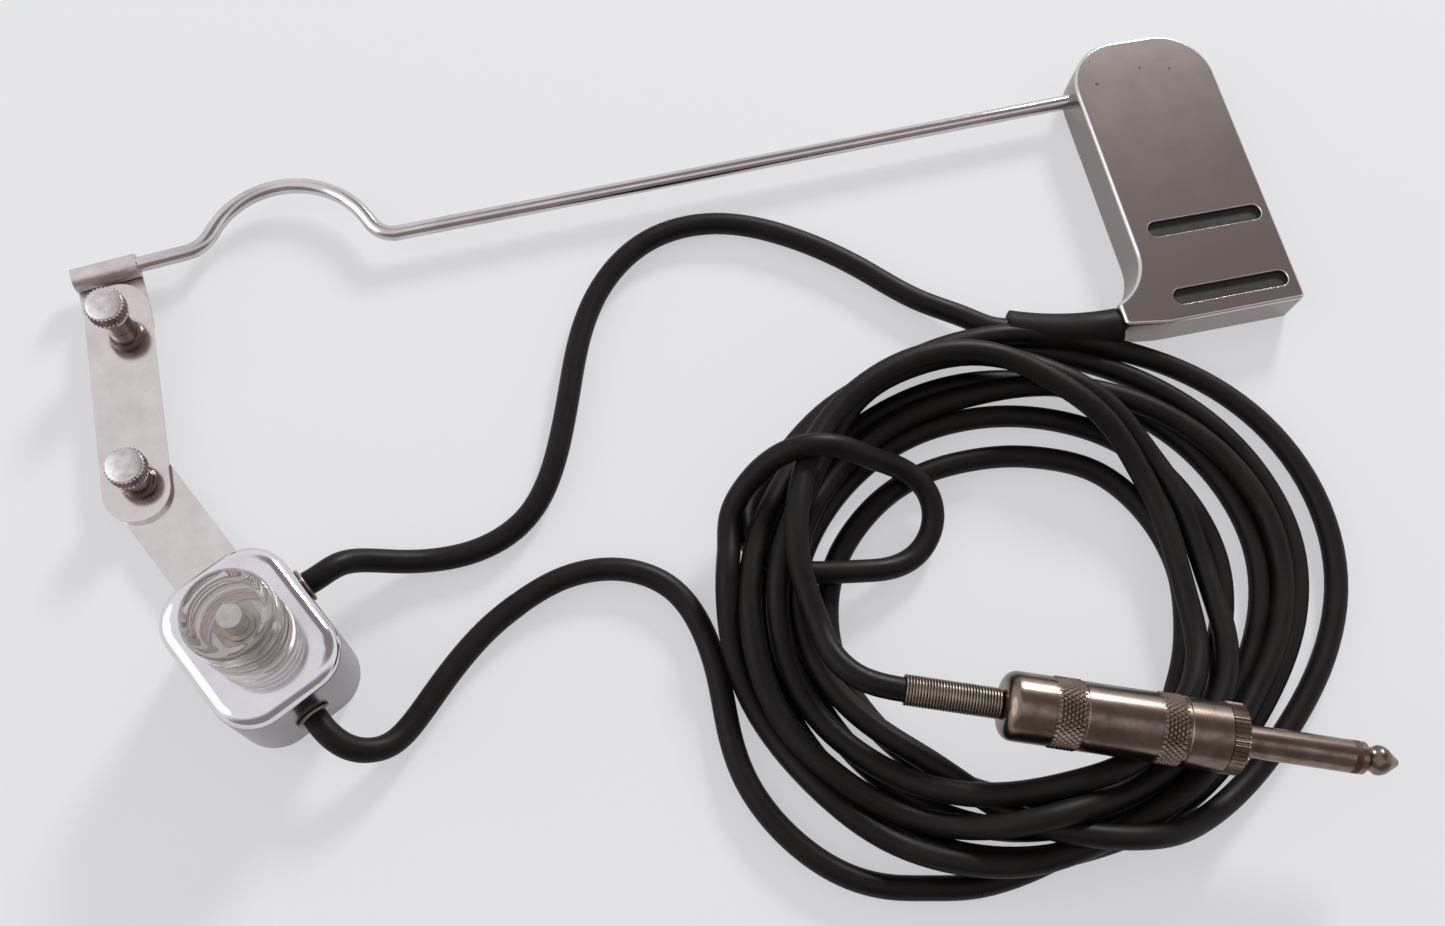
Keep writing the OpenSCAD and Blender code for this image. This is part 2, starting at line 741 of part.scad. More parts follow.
// The barrel's rear end is domed and two bands stand a little proud
module plug_barrel() {
    color("#8a7d72") at_plug(0) difference() {
        union() {
            translate([0, 0, 2.6]) cylinder(d = barrel_d, h = barrel_len - 2.6);
            cylinder(d = barrel_d - 5.2, h = 3);
            translate([0, 0, 2.6]) rotate_extrude()
                translate([barrel_d / 2 - 2.6, 0]) circle(r = 2.6);
            for (band = bands)
                translate([0, 0, band[0] * barrel_len])
                    cylinder(d = barrel_d + 0.2, h = (band[1] - band[0]) * barrel_len);
        }
        translate([0, 0, 1.2]) cylinder(d = barrel_d - 2.4, h = barrel_len);
        translate([0, 0, -1]) cylinder(d = lead_d + 2 * fit_gap, h = 4);
    }
}

module plug_collar() {
    color("#8a7d72") at_plug(barrel_len) {
        knurled(barrel_d + 0.2, collar_len, 48);
        translate([0, 0, -8]) cylinder(d = barrel_d - 2.4 - 2 * barrel_gap, h = 8);
    }
}

module plug_sleeve() {
    color("#96897d") at_plug(barrel_len + collar_len)
        cylinder(d = contact_d, h = sleeve_len);
}

module plug_insulator() {
    color("#4a2018") at_plug(barrel_len + collar_len + sleeve_len)
        cylinder(d = contact_d, h = insulator_len);
}

// Shoulder, neck, ball and point
module plug_tip() {
    r = contact_d / 2;
    color("#a09484") at_plug(barrel_len + collar_len + sleeve_len + insulator_len)
        rotate_extrude() polygon([
            [0, 0], [r, 0], [r, shoulder_len], [r - 0.95, 2.2], [r - 0.95, 2.6],
            [r - 0.3, 3.9], [r - 0.3, 4.6], [r - 0.6, 5.5],
            [0.7, tip_len - 0.15], [0, tip_len]]);
}

mounting_rod();
rod_socket();
pickup_cover();
pickup_base();
pickup_bobbins();
pickup_windings();
pickup_magnets();
base_screws();
cable_boot();
rod_clamp();
upper_nut();
clamp_plate();
upper_thumbscrew();
lower_thumbscrew();
control_arm();
lower_nut();
arm_rivets();
control_housing();
control_base();
lead_eyelets();
pot_can();
pot_bushing();
pot_nut();
pot_shaft();
control_knob();
pickup_lead();
output_lead();
cable_coil();
tie_loop();
plug_lead();
plug_spring();
plug_barrel();
plug_collar();
plug_sleeve();
plug_insulator();
plug_tip();
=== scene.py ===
"""Looks of a clamp-on guitar pickup with its volume box, leads and phone plug."""
import bpy
import math
import numpy as np
from mathutils import Matrix, Vector
from mathutils.bvhtree import BVHTree


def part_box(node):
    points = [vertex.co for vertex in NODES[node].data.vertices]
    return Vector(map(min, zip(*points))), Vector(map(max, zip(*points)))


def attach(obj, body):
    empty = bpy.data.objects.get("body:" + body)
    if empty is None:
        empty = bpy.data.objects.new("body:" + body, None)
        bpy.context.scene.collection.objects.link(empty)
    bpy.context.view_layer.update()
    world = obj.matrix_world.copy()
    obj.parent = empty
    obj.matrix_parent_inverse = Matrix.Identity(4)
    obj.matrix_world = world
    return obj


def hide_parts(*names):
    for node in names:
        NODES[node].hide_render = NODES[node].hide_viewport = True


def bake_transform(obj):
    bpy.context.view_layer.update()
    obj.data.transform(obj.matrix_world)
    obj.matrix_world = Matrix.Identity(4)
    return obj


MM = 0.001
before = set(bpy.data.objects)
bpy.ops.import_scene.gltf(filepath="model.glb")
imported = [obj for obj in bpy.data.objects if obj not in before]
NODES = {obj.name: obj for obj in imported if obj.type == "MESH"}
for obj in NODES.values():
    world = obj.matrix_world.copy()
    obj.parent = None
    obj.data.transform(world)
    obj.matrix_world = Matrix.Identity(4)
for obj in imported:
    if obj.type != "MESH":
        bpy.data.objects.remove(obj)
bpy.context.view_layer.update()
bpy.ops.object.select_all(action="DESELECT")


# ---- camera -----------------------------------------------------------------
PHOTO_W, PHOTO_H = 1445, 926
LONG_SIDE = max(PHOTO_W, PHOTO_H)
CAMERA_AT = Vector((0.047283, -0.072858, 0.277))
CAMERA_AIM = Vector((0.09625, 0.01908, 0.0))
CAMERA_ROLL = math.radians(13.4555)
LENS_MM, SENSOR_MM = 34.88, 36.0
SHIFT_X, SHIFT_Y = 0.0, 0.0
CLIP_NEAR, CLIP_FAR = 0.01, 20


def set_camera():
    bpy.ops.object.camera_add(location=CAMERA_AT)
    cam = bpy.context.object
    cam.name = "view_camera"
    look = (CAMERA_AIM - CAMERA_AT).to_track_quat("-Z", "Y").to_matrix().to_4x4()
    cam.matrix_world = Matrix.Translation(CAMERA_AT) @ look @ Matrix.Rotation(CAMERA_ROLL, 4, "Z")
    cam.data.lens = LENS_MM
    cam.data.sensor_width = SENSOR_MM
    cam.data.sensor_fit = "AUTO"
    cam.data.shift_x, cam.data.shift_y = SHIFT_X, SHIFT_Y
    cam.data.clip_start, cam.data.clip_end = CLIP_NEAR, CLIP_FAR
    cam.data.dof.use_dof = False
    bpy.context.scene.camera = cam
    bpy.context.view_layer.update()
    return cam


camera = set_camera()


def photo_ray(x, y):
    """Direction in the row frame of the photograph's point x, y."""
    v = Vector((x - PHOTO_W / 2 + SHIFT_X * LONG_SIDE, PHOTO_H / 2 - y + SHIFT_Y * LONG_SIDE,
                -LONG_SIDE * LENS_MM / SENSOR_MM))
    return (camera.matrix_world.to_3x3() @ v).normalized()


def photo_pixels(places):
    """Where points of the row frame show in the photograph, one row x, y for each."""
    turn = np.array(camera.matrix_world.to_3x3())
    v = (np.asarray(places, float) - np.array(CAMERA_AT)) @ turn
    k = LONG_SIDE * LENS_MM / SENSOR_MM / -v[:, 2]
    return np.c_[PHOTO_W / 2 - SHIFT_X * LONG_SIDE + v[:, 0] * k,
                 PHOTO_H / 2 + SHIFT_Y * LONG_SIDE - v[:, 1] * k]


# ---- cords, in mm -------------------------------------------------------------
LEAD_D = 4.8
LYING = 2.5  # height of a lead's centreline where it lies on the table
BOX_SIDE_EXIT = (10.12, 10.24, 12.0)
BOX_END_EXIT = (6.93, -14.86, 9.5)
BOOT_EXIT = (164.64, 32.90, 4.5)
PLUG_AT = (132.0, -46.0, 16.4)
PLUG_HEADING = math.radians(-23)
PER_SPAN = 6  # points of the smooth line from one point of a route to the next
HEAP_SPAN = 8  # the same, where the heap's heights are worked out
ROUND_STEPS = 5  # bevel steps of a lead's round


def smooth_line(points, per_span=PER_SPAN, straight_ends=True):
    """Points on one cubic curve through the given points, its parameter growing with the
    square root of each chord. Straight ends have no curvature; otherwise the first two spans
    are one cubic, and the last two."""
    P = np.array(points, float)
    s = np.r_[0, np.cumsum(np.linalg.norm(np.diff(P, axis=0), axis=1) ** 0.5)]
    h = np.diff(s)
    n = len(P)
    A = np.zeros((n, n))
    B = np.zeros((n, 3))
    if straight_ends:
        A[0, 0] = A[-1, -1] = 1
    else:
        A[0, :3] = h[1], -h[0] - h[1], h[0]
        A[-1, -3:] = h[-1], -h[-2] - h[-1], h[-2]
    for i in range(1, n - 1):
        A[i, i - 1:i + 2] = h[i - 1], 2 * (h[i - 1] + h[i]), h[i]
        B[i] = 6 * ((P[i + 1] - P[i]) / h[i] - (P[i] - P[i - 1]) / h[i - 1])
    M = np.linalg.solve(A, B)
    out = []
    for i in range(n - 1):
        for t in np.linspace(0, h[i], per_span, endpoint=False):
            u = h[i] - t
            out.append((M[i] * u ** 3 + M[i + 1] * t ** 3) / (6 * h[i])
                       + (P[i] / h[i] - M[i] * h[i] / 6) * u
                       + (P[i + 1] / h[i] - M[i + 1] * h[i] / 6) * t)
    out.append(P[-1])
    return np.array(out)


# ---- the output lead's way, in mm -----------------------------------------------
# Given: out of the box, along the table and in beside the coil; and the tie, which
# goes under the bundle and back over it. A point without a height lies on what is below it.
RUN_FROM_BOX = [
    BOX_END_EXIT, (8.2, -17.6, 9.5), (10.7, -20.8, 8.6), (14.3, -22.6, 6.6), (18.9, -22.2, 4.3),
    (23.6, -19, 2.8), (28.4, -14.6), (33.6, -10), (40.5, -4.9), (48, -1), (57, 1.9), (65.6, 2),
    (72.8, -0.4), (78.8, -5.6), (82.2, -14), (83, -25), (82.2, -36), (82.8, -45.6),
    (85.6, -53.9), (90, -61.2), (96.1, -67.6), (103.6, -72), (111.4, -74.4)]
TIE = [(99.2, 8.6), (96, 2.4), (97.8, -4.4), (103.2, -8.8), (109.8, -10.8), (116.6, -12),
       (123.6, -12.4), (130.2, -10.4), (134.8, -5), (134.8, 1.6), (130.2, 6.6), (123.4, 9),
       (117, 11.2), (110.6, 12.6), (104, 12.4), (97.8, 9.8), (93.4, 5), (91.2, -1.4)]
TIE_OVER = (8.5, 18.5)  # between these places, counted in its points, it lies over the bundle
# The coil's edges round its middle: angle in degrees, radius of a strand that lies there.
COIL_MIDDLE = (147, -29)
OUTER_EDGE = ((0, 62), (15, 63), (30, 62.5), (53, 60), (81, 58.5), (104, 57), (134, 56),
              (162, 57.5), (180, 56.5), (202, 54), (227, 52.5), (249, 49.6), (267, 47),
              (299, 47.8), (323, 50.5), (340, 56))
INNER_EDGE = ((9, 36), (43, 37), (70, 34.5), (91, 34), (130, 36.5), (155, 38.5), (181, 38),
              (201, 35.5), (230, 33), (268, 33), (315, 32), (349, 34.5))
# How the turns wander: angle, counted on from turn to turn, and place from the inner edge at
# 0 to the outer at 1. The first turns go evenly outwards, the later ones lie loosely.
FIRST_TURNS = ((241, 1.2), (253, 1.02), (268, 0.78), (290, 0.4), (315, 0.1), (345, 0),
               (705, 0.33), (1065, 0.67), (1425, 1), (1530, 1.07), (1560, 1.14), (1575, 1.18))
LATER_TURNS = (
    (1600, 1.24), (1612, 1.2), (1630, 1.12), (1660, 1.06), (1692, 0.98), (1720, 0.82),
    (1755, 0.79), (1800, 0.84), (1850, 0.72), (1890, 0.6), (1935, 0.6), (1980, 0.38),
    (2005, 0.2), (2022, 0.16), (2045, 0.46), (2072, 0.96), (2088, 1.2), (2100, 1.28),
    (2130, 1.36), (2160, 1.36), (2188, 1.36), (2213, 1.22), (2240, 1.12), (2264, 1.06),
    (2294, 1), (2340, 1), (2390, 0.7), (2430, 0.43), (2475, 0.46), (2520, 0.17), (2550, 0.3),
    (2580, 0.66), (2612, 0.97), (2630, 0.97), (2655, 0.75), (2700, 0.68), (2745, 0.4),
    (2790, 0.11), (2835, 0.13), (2880, -0.06), (2910, 0.1), (2940, 0.5), (2972, 0.96),
    (2988, 1), (3006, 0.95), (3028, 0.66), (3050, 0.34))
TURN_STEP = 15  # degrees from one point of a turn to the next
EDGE_ANGLES, SOFTENING = np.arange(0, 360, 5), (0.1, 0.2, 0.4, 0.2, 0.1)
# the rise to the plug: places, and how much of it is done there
RISE = (((103.9, -28.6), 0.45), ((107.7, -34.6), 0.85))
SPRING_ENTRY, SPRING_INSIDE = 19, 13  # behind the barrel: the spring's end, a place inside


def soft_edge(edge):
    """An edge of the coil as a function of the angle, with its corners softened."""
    radii = np.interp(EDGE_ANGLES, *zip(*edge), period=360)
    radii = np.convolve(np.r_[radii[-2:], radii, radii[:2]], SOFTENING, "valid")
    return lambda angle: np.interp(angle, EDGE_ANGLES, radii, period=360)


def end_slope(h, m):
    """The slope at a curve's end, from its first two steps and their slopes."""
    return ((2 * h[0] + h[1]) * m[0] - h[0] * m[1]) / (h[0] + h[1])


def steady_curve(stops, at):
    """A cubic curve through stops (x, y) that doesn't swing past them, at these x."""
    x, y = np.array(stops, float).T
    h = np.diff(x)
    m = np.diff(y) / h
    slopes = np.zeros(len(x))
    for i in range(1, len(x) - 1):
        if m[i - 1] * m[i] > 0:
            a, b = 2 * h[i] + h[i - 1], h[i] + 2 * h[i - 1]
            slopes[i] = (a + b) / (a / m[i - 1] + b / m[i])
    slopes[0], slopes[-1] = end_slope(h, m), end_slope(h[::-1], m[::-1])
    i = np.clip(np.searchsorted(x, at, side="right") - 1, 0, len(h) - 1)
    t = (at - x[i]) / h[i]
    return (y[i] * (1 + 2 * t) * (1 - t) ** 2 + y[i + 1] * t ** 2 * (3 - 2 * t)
            + h[i] * (slopes[i] * t * (1 - t) ** 2 - slopes[i + 1] * t ** 2 * (1 - t)))


def lay_turns(stops):
    """Points along turns of the coil, in plan."""
    outer, inner = soft_edge(OUTER_EDGE), soft_edge(INNER_EDGE)
    first, last = stops[0][0], stops[-1][0]
    angles = np.linspace(first, last, round((last - first) / TURN_STEP) + 1)
    radii = inner(angles) + steady_curve(stops, angles) * (outer(angles) - inner(angles))
    angles = np.radians(angles)
    return [(COIL_MIDDLE[0] + r * math.cos(a), COIL_MIDDLE[1] + r * math.sin(a))
            for a, r in zip(angles, radii)]


HEAP_STEP = 2.0  # from one strand sample to the next
OWN_SAMPLES = 12  # a strand doesn't lie on its own next samples
BESIDE = 3.9  # strands further apart in plan lie side by side, the later one no lower
SINK = 0.8  # a strand sinks between the ones below it, to this share of the full height
REST_ROUNDS = 14  # times the heights are passed up the heap, more than it has layers
SPREAD, BLUR_REACH, BLUR = 3, 7, 2.6  # in samples, how far a strand bends over another


def bend_over(heights, floor):
    """The heights with each rise spread along the strand and rounded off, never below floor."""
    spread = np.lib.stride_tricks.sliding_window_view(
        np.pad(heights, SPREAD, constant_values=LYING), 2 * SPREAD + 1).max(axis=1)
    blur = np.exp(-0.5 * (np.arange(-BLUR_REACH, BLUR_REACH + 1) / BLUR) ** 2)
    soft = np.convolve(np.pad(spread, BLUR_REACH, mode="edge"), blur / blur.sum(), "valid")
    return np.maximum(soft, floor)


def heap_heights(points, floor_from, over):
    """The height of each point in the heap: a later strand rests on every earlier one that it
    crosses, and the points between the two in over rest on all the others."""
    line = smooth_line(points, HEAP_SPAN, straight_ends=False)
    index = np.arange(len(line)) / HEAP_SPAN
    way = np.r_[0, np.cumsum(np.linalg.norm(np.diff(line[:, :2], axis=0), axis=1))]
    samples = np.linspace(0, way[-1], int(way[-1] / HEAP_STEP) + 1)
    x, y, floor = (np.interp(samples, way, line[:, i]) for i in range(3))
    index = np.interp(samples, way, index)
    floor[index > floor_from] = LYING
    order = np.arange(len(samples)) + len(samples) * ((index > over[0]) & (index < over[1]))
    low, high = np.triu_indices(len(samples), OWN_SAMPLES + 1)
    apart = np.hypot(x[low] - x[high], y[low] - y[high])
    near = apart <= LEAD_D
    low, high, apart = low[near], high[near], apart[near]
    swap = order[low] > order[high]
    low, high = np.where(swap, high, low), np.where(swap, low, high)
    lift = np.where(apart > BESIDE, 0, SINK * np.sqrt(LEAD_D ** 2 - apart ** 2))
    heights = floor
    for _ in range(REST_ROUNDS):
        resting = floor.copy()
        np.maximum.at(resting, high, heights[low] + lift)
        heights = bend_over(resting, floor)
    return np.maximum(np.interp(np.arange(len(points)), index, heights), LYING)


def output_route():
    """The output lead's whole way with its heights, to a tenth of a millimetre."""
    run, first, later = RUN_FROM_BOX, lay_turns(FIRST_TURNS), lay_turns(LATER_TURNS)
    plan = run + first + TIE + later
    points = [at if len(at) == 3 else (*at, LYING) for at in plan]
    tie_at = len(run) + len(first)
    heights = heap_heights(points, len(run) - 1, [tie_at + place for place in TIE_OVER])
    heights[:len(run)] = [at[2] for at in points[:len(run)]]
    rise = PLUG_AT[2] - heights[-1]
    route = [(*at[:2], z) for at, z in zip(points, heights)]
    route += [(*at, heights[-1] + rise * share) for at, share in RISE]
    route += [(PLUG_AT[0] - back * math.cos(PLUG_HEADING),
               PLUG_AT[1] - back * math.sin(PLUG_HEADING), PLUG_AT[2])
              for back in (SPRING_ENTRY, SPRING_INSIDE)]
    return np.round(route + [PLUG_AT], 1)


# the box-to-pickup lead's way, with no height where it lies on the table
PICKUP_ROUTE = [
    BOX_SIDE_EXIT, (12.9, 11.3, 12.0), (16.5, 13, 10.8), (21, 13.6, 7.8), (27, 12.8, 4.6),
    (34, 12), (43, 12), (52, 15.2), (58.6, 21.5), (64, 31), (68.7, 42), (73.5, 53), (80.5, 63.5),
    (91.5, 71.8), (103.5, 74.2), (115, 71.8), (127, 65), (138, 55.5), (147.5, 45.5, 2.8),
    (156, 38.6, 3.8), (160.93, 34.40, 4.5), BOOT_EXIT]


def lay_stretch(name, line):
    """A round tube along one stretch of a lead's line, closed at both ends."""
    bpy.ops.curve.primitive_nurbs_path_add(enter_editmode=False, location=(0, 0, 0))
    tube = bpy.context.object
    tube.name = name
    data = tube.data
    data.splines.clear()
    spline = data.splines.new("POLY")
    spline.points.add(len(line) - 1)
    spline.points.foreach_set("co", np.c_[line, np.ones(len(line))].ravel())
    spline.use_smooth = True
    data.dimensions = "3D"
    data.twist_mode = "MINIMUM"
    data.bevel_depth = LEAD_D / 2 * MM
    data.bevel_resolution = ROUND_STEPS
    data.use_fill_caps = True
    bpy.ops.object.convert(target="MESH")
    bpy.ops.object.select_all(action="DESELECT")
    return tube


def lay_lead(name, route, cuts):
    """A lead along its whole route, cut into stretches at these points of the route, so that
    each stretch lies across one joint between the box and the pickup."""
    line = smooth_line([at if len(at) == 3 else (*at, LYING) for at in route]) * MM
    ends = [0] + [cut * PER_SPAN for cut in cuts] + [len(line) - 1]
    lines = [line[a:b + 1] for a, b in zip(ends, ends[1:])]
    return [lay_stretch(f"{name}_{i + 1}", part) for i, part in enumerate(lines)], lines


pickup_lead, pickup_lines = lay_lead("pickup_lead_rubber", PICKUP_ROUTE, (7, 12))
output_lead, output_lines = lay_lead("output_lead_rubber", output_route(), (9, 19, 23))


# ---- colour and node helpers --------------------------------------------------
def srgb(code):
    """Linear colour of an sRGB hex value."""
    v = [int(code[i:i + 2], 16) / 255 for i in (1, 3, 5)]
    return tuple(c / 12.92 if c <= 0.04045 else ((c + 0.055) / 1.055) ** 2.4 for c in v) + (1.0,)


def add(tree, kind, links=None, ramp=None, **settings):
    """Adds a node with its settings; links maps an input to a value or to another node's output,
    and ramp gives a colour ramp its stops."""
    node = tree.nodes.new("ShaderNode" + kind)
    for key, value in settings.items():
        setattr(node, key, value)
    for key, value in (links or {}).items():
        if isinstance(value, bpy.types.NodeSocket):
            tree.links.new(value, node.inputs[key])
        else:
            node.inputs[key].default_value = value
    if ramp:
        stops = node.color_ramp.elements
        while len(stops) < len(ramp):
            stops.new(0.5)
        for stop, (place, colour) in zip(stops, ramp):
            stop.position = place
            stop.color = colour if isinstance(colour, tuple) else (colour,) * 3 + (1,)
    return node


def blend_colours(tree, factor, a, b):
    """The colour between a and b, as a Mix node gives it."""
    return add(tree, "Mix", {0: factor, 6: a, 7: b}, data_type="RGBA").outputs[2]


def blend_numbers(tree, factor, a, b):
    return add(tree, "Mix", {0: factor, 2: a, 3: b}).outputs[0]


def finish_material(name, build):
    """A material whose surface is the shader that build returns."""
    mat = bpy.data.materials.new(name)
    mat.use_nodes = True
    tree = mat.node_tree
    tree.nodes.clear()
    shader = build(tree)
    out = add(tree, "OutputMaterial")
    tree.links.new(shader.outputs[0], out.inputs["Surface"])
    return mat


# heights of the face normal where a top has turned into its round, and the round into a wall:
# there the painted highlight and painted shade begin
TOP_FROM, TOP_FULL = 0.9, 0.995
WALL_FROM, WALL_FULL = 0.3, 0.1
PIT_SIZE = 0.30  # of the largest pits, in widths of a Voronoi cell


def plated(name, colour, dull, rough, rough_worn, grain_mm, pit_mm, pits=0.5, bump=0.02,
           stretch=(1, 1, 1), pit_colour="#3a322f", wear_mm=9.0, edge=None, side=None,
           edge_rough=0.1, side_rough=0.2):
    """Plated metal: cloudy tarnish over the plate, fine polishing grain and small pits.
    edge is the tone painted on the round between a top and its sides, painted light standing for
    its reflection, and side the painted shade on the upright walls."""
    def build(t):
        at = add(t, "TexCoord").outputs["Object"]
        cloud = add(t, "TexNoise", {"Vector": at, "Scale": 1 / (wear_mm * MM), "Detail": 5.0,
                                    "Roughness": 0.6}).outputs["Fac"]
        worn = add(t, "ValToRGB", {"Fac": cloud}, [(0.35, 0.0), (0.68, 1.0)]).outputs[0]
        brushed = add(t, "Mapping", {"Vector": at, "Scale": stretch}).outputs[0]
        grain = add(t, "TexNoise", {"Vector": brushed, "Scale": 1 / (grain_mm * MM),
                                    "Detail": 3.0}).outputs["Fac"]
        cells = add(t, "TexVoronoi", {"Vector": at, "Scale": 1 / (pit_mm * MM)})
        pick = add(t, "TexNoise", {"Vector": at, "Scale": 0.45 / (pit_mm * MM), "Detail": 1.0})
        size = add(t, "MapRange", {"Value": pick.outputs["Fac"], "From Min": 1 - pits,
                                   "From Max": 1.0, "To Min": 0.0, "To Max": PIT_SIZE})
        pit = add(t, "Math", {0: cells.outputs["Distance"], 1: size.outputs[0]},
                  operation="LESS_THAN").outputs[0]
        shade = blend_colours(t, worn, srgb(colour), srgb(dull))
        haze = add(t, "MapRange", {"Value": cloud, "From Min": 0.3, "From Max": 0.7,
                                   "To Min": rough, "To Max": rough_worn}).outputs[0]
        # Painted light: the round takes a painted highlight and the upright walls a painted
        # shade, picked by which way each face points, not by the lamps.
        if edge:
            up = add(t, "SeparateXYZ", {0: add(t, "NewGeometry").outputs["Normal"]}).outputs[2]
            top = add(t, "MapRange", {"Value": up, "From Min": TOP_FROM,
                                      "From Max": TOP_FULL}).outputs[0]
            painted_wall_mask = add(t, "MapRange", {"Value": up, "From Min": WALL_FROM,
                                       "From Max": WALL_FULL}).outputs[0]
            painted_light_on_rounds = blend_colours(t, painted_wall_mask, srgb(edge), srgb(side))
            round_haze = blend_numbers(t, painted_wall_mask, edge_rough, side_rough)
            shade = blend_colours(t, top, painted_light_on_rounds, shade)
            haze = blend_numbers(t, top, round_haze, haze)
        shade = blend_colours(t, pit, shade, srgb(pit_colour))
        height = add(t, "Math", {0: grain, 1: pit}, operation="SUBTRACT")
        relief = add(t, "Bump", {"Height": height.outputs[0], "Strength": 1.0,
                                 "Distance": bump * MM})
        return add(t, "BsdfPrincipled", {"Base Color": shade, "Metallic": 1.0,
                                         "Roughness": haze, "Normal": relief.outputs[0]})
    return finish_material(name, build)


def moulded(name, colour, worn, rough, grain_mm, bump, wear_mm=12.0, specular=0.5):
    """Rubber, plastic or fibre: a nearly even colour with dust in its grain."""
    def build(t):
        at = add(t, "TexCoord").outputs["Object"]
        cloud = add(t, "TexNoise", {"Vector": at, "Scale": 1 / (wear_mm * MM), "Detail": 6.0,
                                    "Roughness": 0.65}).outputs["Fac"]
        grain = add(t, "TexNoise", {"Vector": at, "Scale": 1 / (grain_mm * MM), "Detail": 4.0})
        dusty = add(t, "ValToRGB", {"Fac": cloud}, [(0.4, 0.0), (0.75, 1.0)]).outputs[0]
        shade = blend_colours(t, dusty, srgb(colour), srgb(worn))
        haze = add(t, "MapRange", {"Value": cloud, "From Min": 0.3, "From Max": 0.75,
                                   "To Min": rough, "To Max": min(1.0, rough + 0.22)})
        relief = add(t, "Bump", {"Height": grain.outputs["Fac"], "Strength": 1.0,
                                 "Distance": bump * MM})
        return add(t, "BsdfPrincipled", {"Base Color": shade, "Roughness": haze.outputs[0],
                                         "Normal": relief.outputs[0],
                                         "Specular IOR Level": specular})
    return finish_material(name, build)


# ---- finishes -----------------------------------------------------------------
# Nickel plate, satin brushed, on the cover: warm grey with soft blurred reflections and pits;
# a painted highlight along the rounds and painted shade on the sides.
satin_nickel = plated("satin_nickel_plate_cover", "#a79f9d", "#a09896", 0.2, 0.23, 0.25, 2.4,
                      pits=0.4, bump=0.007, stretch=(1, 0.12, 1), edge="#d6d0cf",
                      side="#958c8a", edge_rough=0.2, side_rough=0.3)
# Nickel plate on rolled sheet, on the clamp: hazy, so its tube shades in one soft sweep.
clamp_sheet = plated("rolled_nickel_plate_clamp", "#d6cfce", "#c3bab9", 0.36, 0.42, 0.4, 1.3,
                     pits=0.34, bump=0.002, wear_mm=4.0)
# Chromium plate, buffed to a mirror, on the control box: near white with sharp reflections, and
# painted shade on its upright walls.
mirror_chrome = plated("buffed_chromium_plate_box", "#e4e1e6", "#d6d2d8", 0.06, 0.12, 0.6, 2.6,
                       pits=0.22, bump=0.001, edge="#e2dfe4", side="#888384",
                       edge_rough=0.08, side_rough=0.26)
# Nickel plate on sheet brass, machine polished, on the links: pale with a soft sheen and pits.
link_plate = plated("polished_nickel_plate_links", "#dbd5d3", "#cfc8c5", 0.1, 0.16, 0.4, 1.3,
                    pits=0.36, bump=0.002, wear_mm=6.0)
# Nickel plate on turned brass, worn dull, on the thumbscrews: grey and speckled on top,
# with painted shade on the rounds, darker still on the turned sides.
turned_nickel = plated("worn_nickel_plate_screws", "#e0dadb", "#b3adae", 0.24, 0.38, 0.3, 0.8,
                       pits=0.5, bump=0.004, wear_mm=1.6, edge="#c9c1bd", side="#7d7069",
                       edge_rough=0.2, side_rough=0.2)
# Bright drawn steel, nickel plated, on the rod: clear long highlights, slightly hazy.
drawn_rod = plated("plated_drawn_steel_rod", "#d6d1d1", "#c2bbba", 0.09, 0.2, 0.5, 1.8,
                   pits=0.26, bump=0.002)
# Nickel plate on turned brass, tarnished, on the plug: warm grey brown with blotches.
aged_nickel = plated("tarnished_nickel_plate_plug", "#877a70", "#63574e", 0.2, 0.3, 0.3, 1.0,
                     pits=0.3, bump=0.002, wear_mm=4.0, pit_colour="#4d4037")
# Nickel plated steel wire of the plug's spring: greyer and duller.
spring_wire = plated("plated_steel_spring_wire", "#8f8579", "#6a6056", 0.26, 0.42,
                     0.3, 1.0, pits=0.3, bump=0.004, wear_mm=3.0)
# Brass eyelet, tarnished: yellow brown, half dull.
aged_brass = plated("tarnished_brass_eyelet", "#9d9184", "#6f6456", 0.26, 0.42,
                    0.2, 0.9, pits=0.35, bump=0.006, wear_mm=2.5)
# Turned brass bushing, clean inside the box.
turned_brass = plated("plated_brass_bushing", "#b9b1a6", "#978e83", 0.24, 0.4,
                      0.2, 1.2, pits=0.2, bump=0.004)
# Aluminium shaft of the control, turned: pale grey with a frosted end.
turned_aluminium = plated("turned_aluminium_shaft", "#d8d6d6", "#b9b6b5", 0.26, 0.4,
                          0.2, 0.8, pits=0.4, bump=0.01, wear_mm=2.0)
# Zinc plated steel fasteners, can and sheet: cool grey, hazy.
zinc_steel = plated("zinc_plated_steel_fasteners", "#b9b7b6", "#95918f", 0.28, 0.44,
                    0.3, 1.2, pits=0.3, bump=0.006, wear_mm=4.0)
sheet_steel = plated("nickel_plated_sheet_base", "#b6aeaa", "#8f8682", 0.24, 0.42,
                     0.4, 1.6, pits=0.35, bump=0.006)
# Alnico bars: cast grey metal, rough.
cast_alnico = plated("cast_alnico_magnets", "#8d8a88", "#6a6664", 0.4, 0.6,
                     0.3, 1.0, pits=0.4, bump=0.02)
# Enamelled copper wire of the coils: dark red brown, glossy, wound in fine turns.
enamelled_copper = plated("enamelled_copper_windings", "#8a4326", "#6b2f1c", 0.26, 0.4,
                          0.12, 1.5, pits=0.1, bump=0.02, stretch=(0.2, 0.2, 3))
# Black natural rubber of the leads: almost black brown, half gloss where handled.
lead_rubber = moulded("black_rubber_lead_sheath", "#0f0c0b", "#1b1614", 0.4, 0.5, 0.012,
                      specular=0.16)
# Softer black rubber of the boot: duller.
boot_rubber = moulded("black_rubber_boot", "#0e0c0b", "#191513", 0.5, 0.6, 0.02, specular=0.14)
# Bobbin plastic seen in the cover's slots: dull brown black.
bobbin_plastic = moulded("dull_black_bobbin_plastic", "#15100e", "#241c19", 0.6, 0.35, 0.03,
                         wear_mm=3.0)
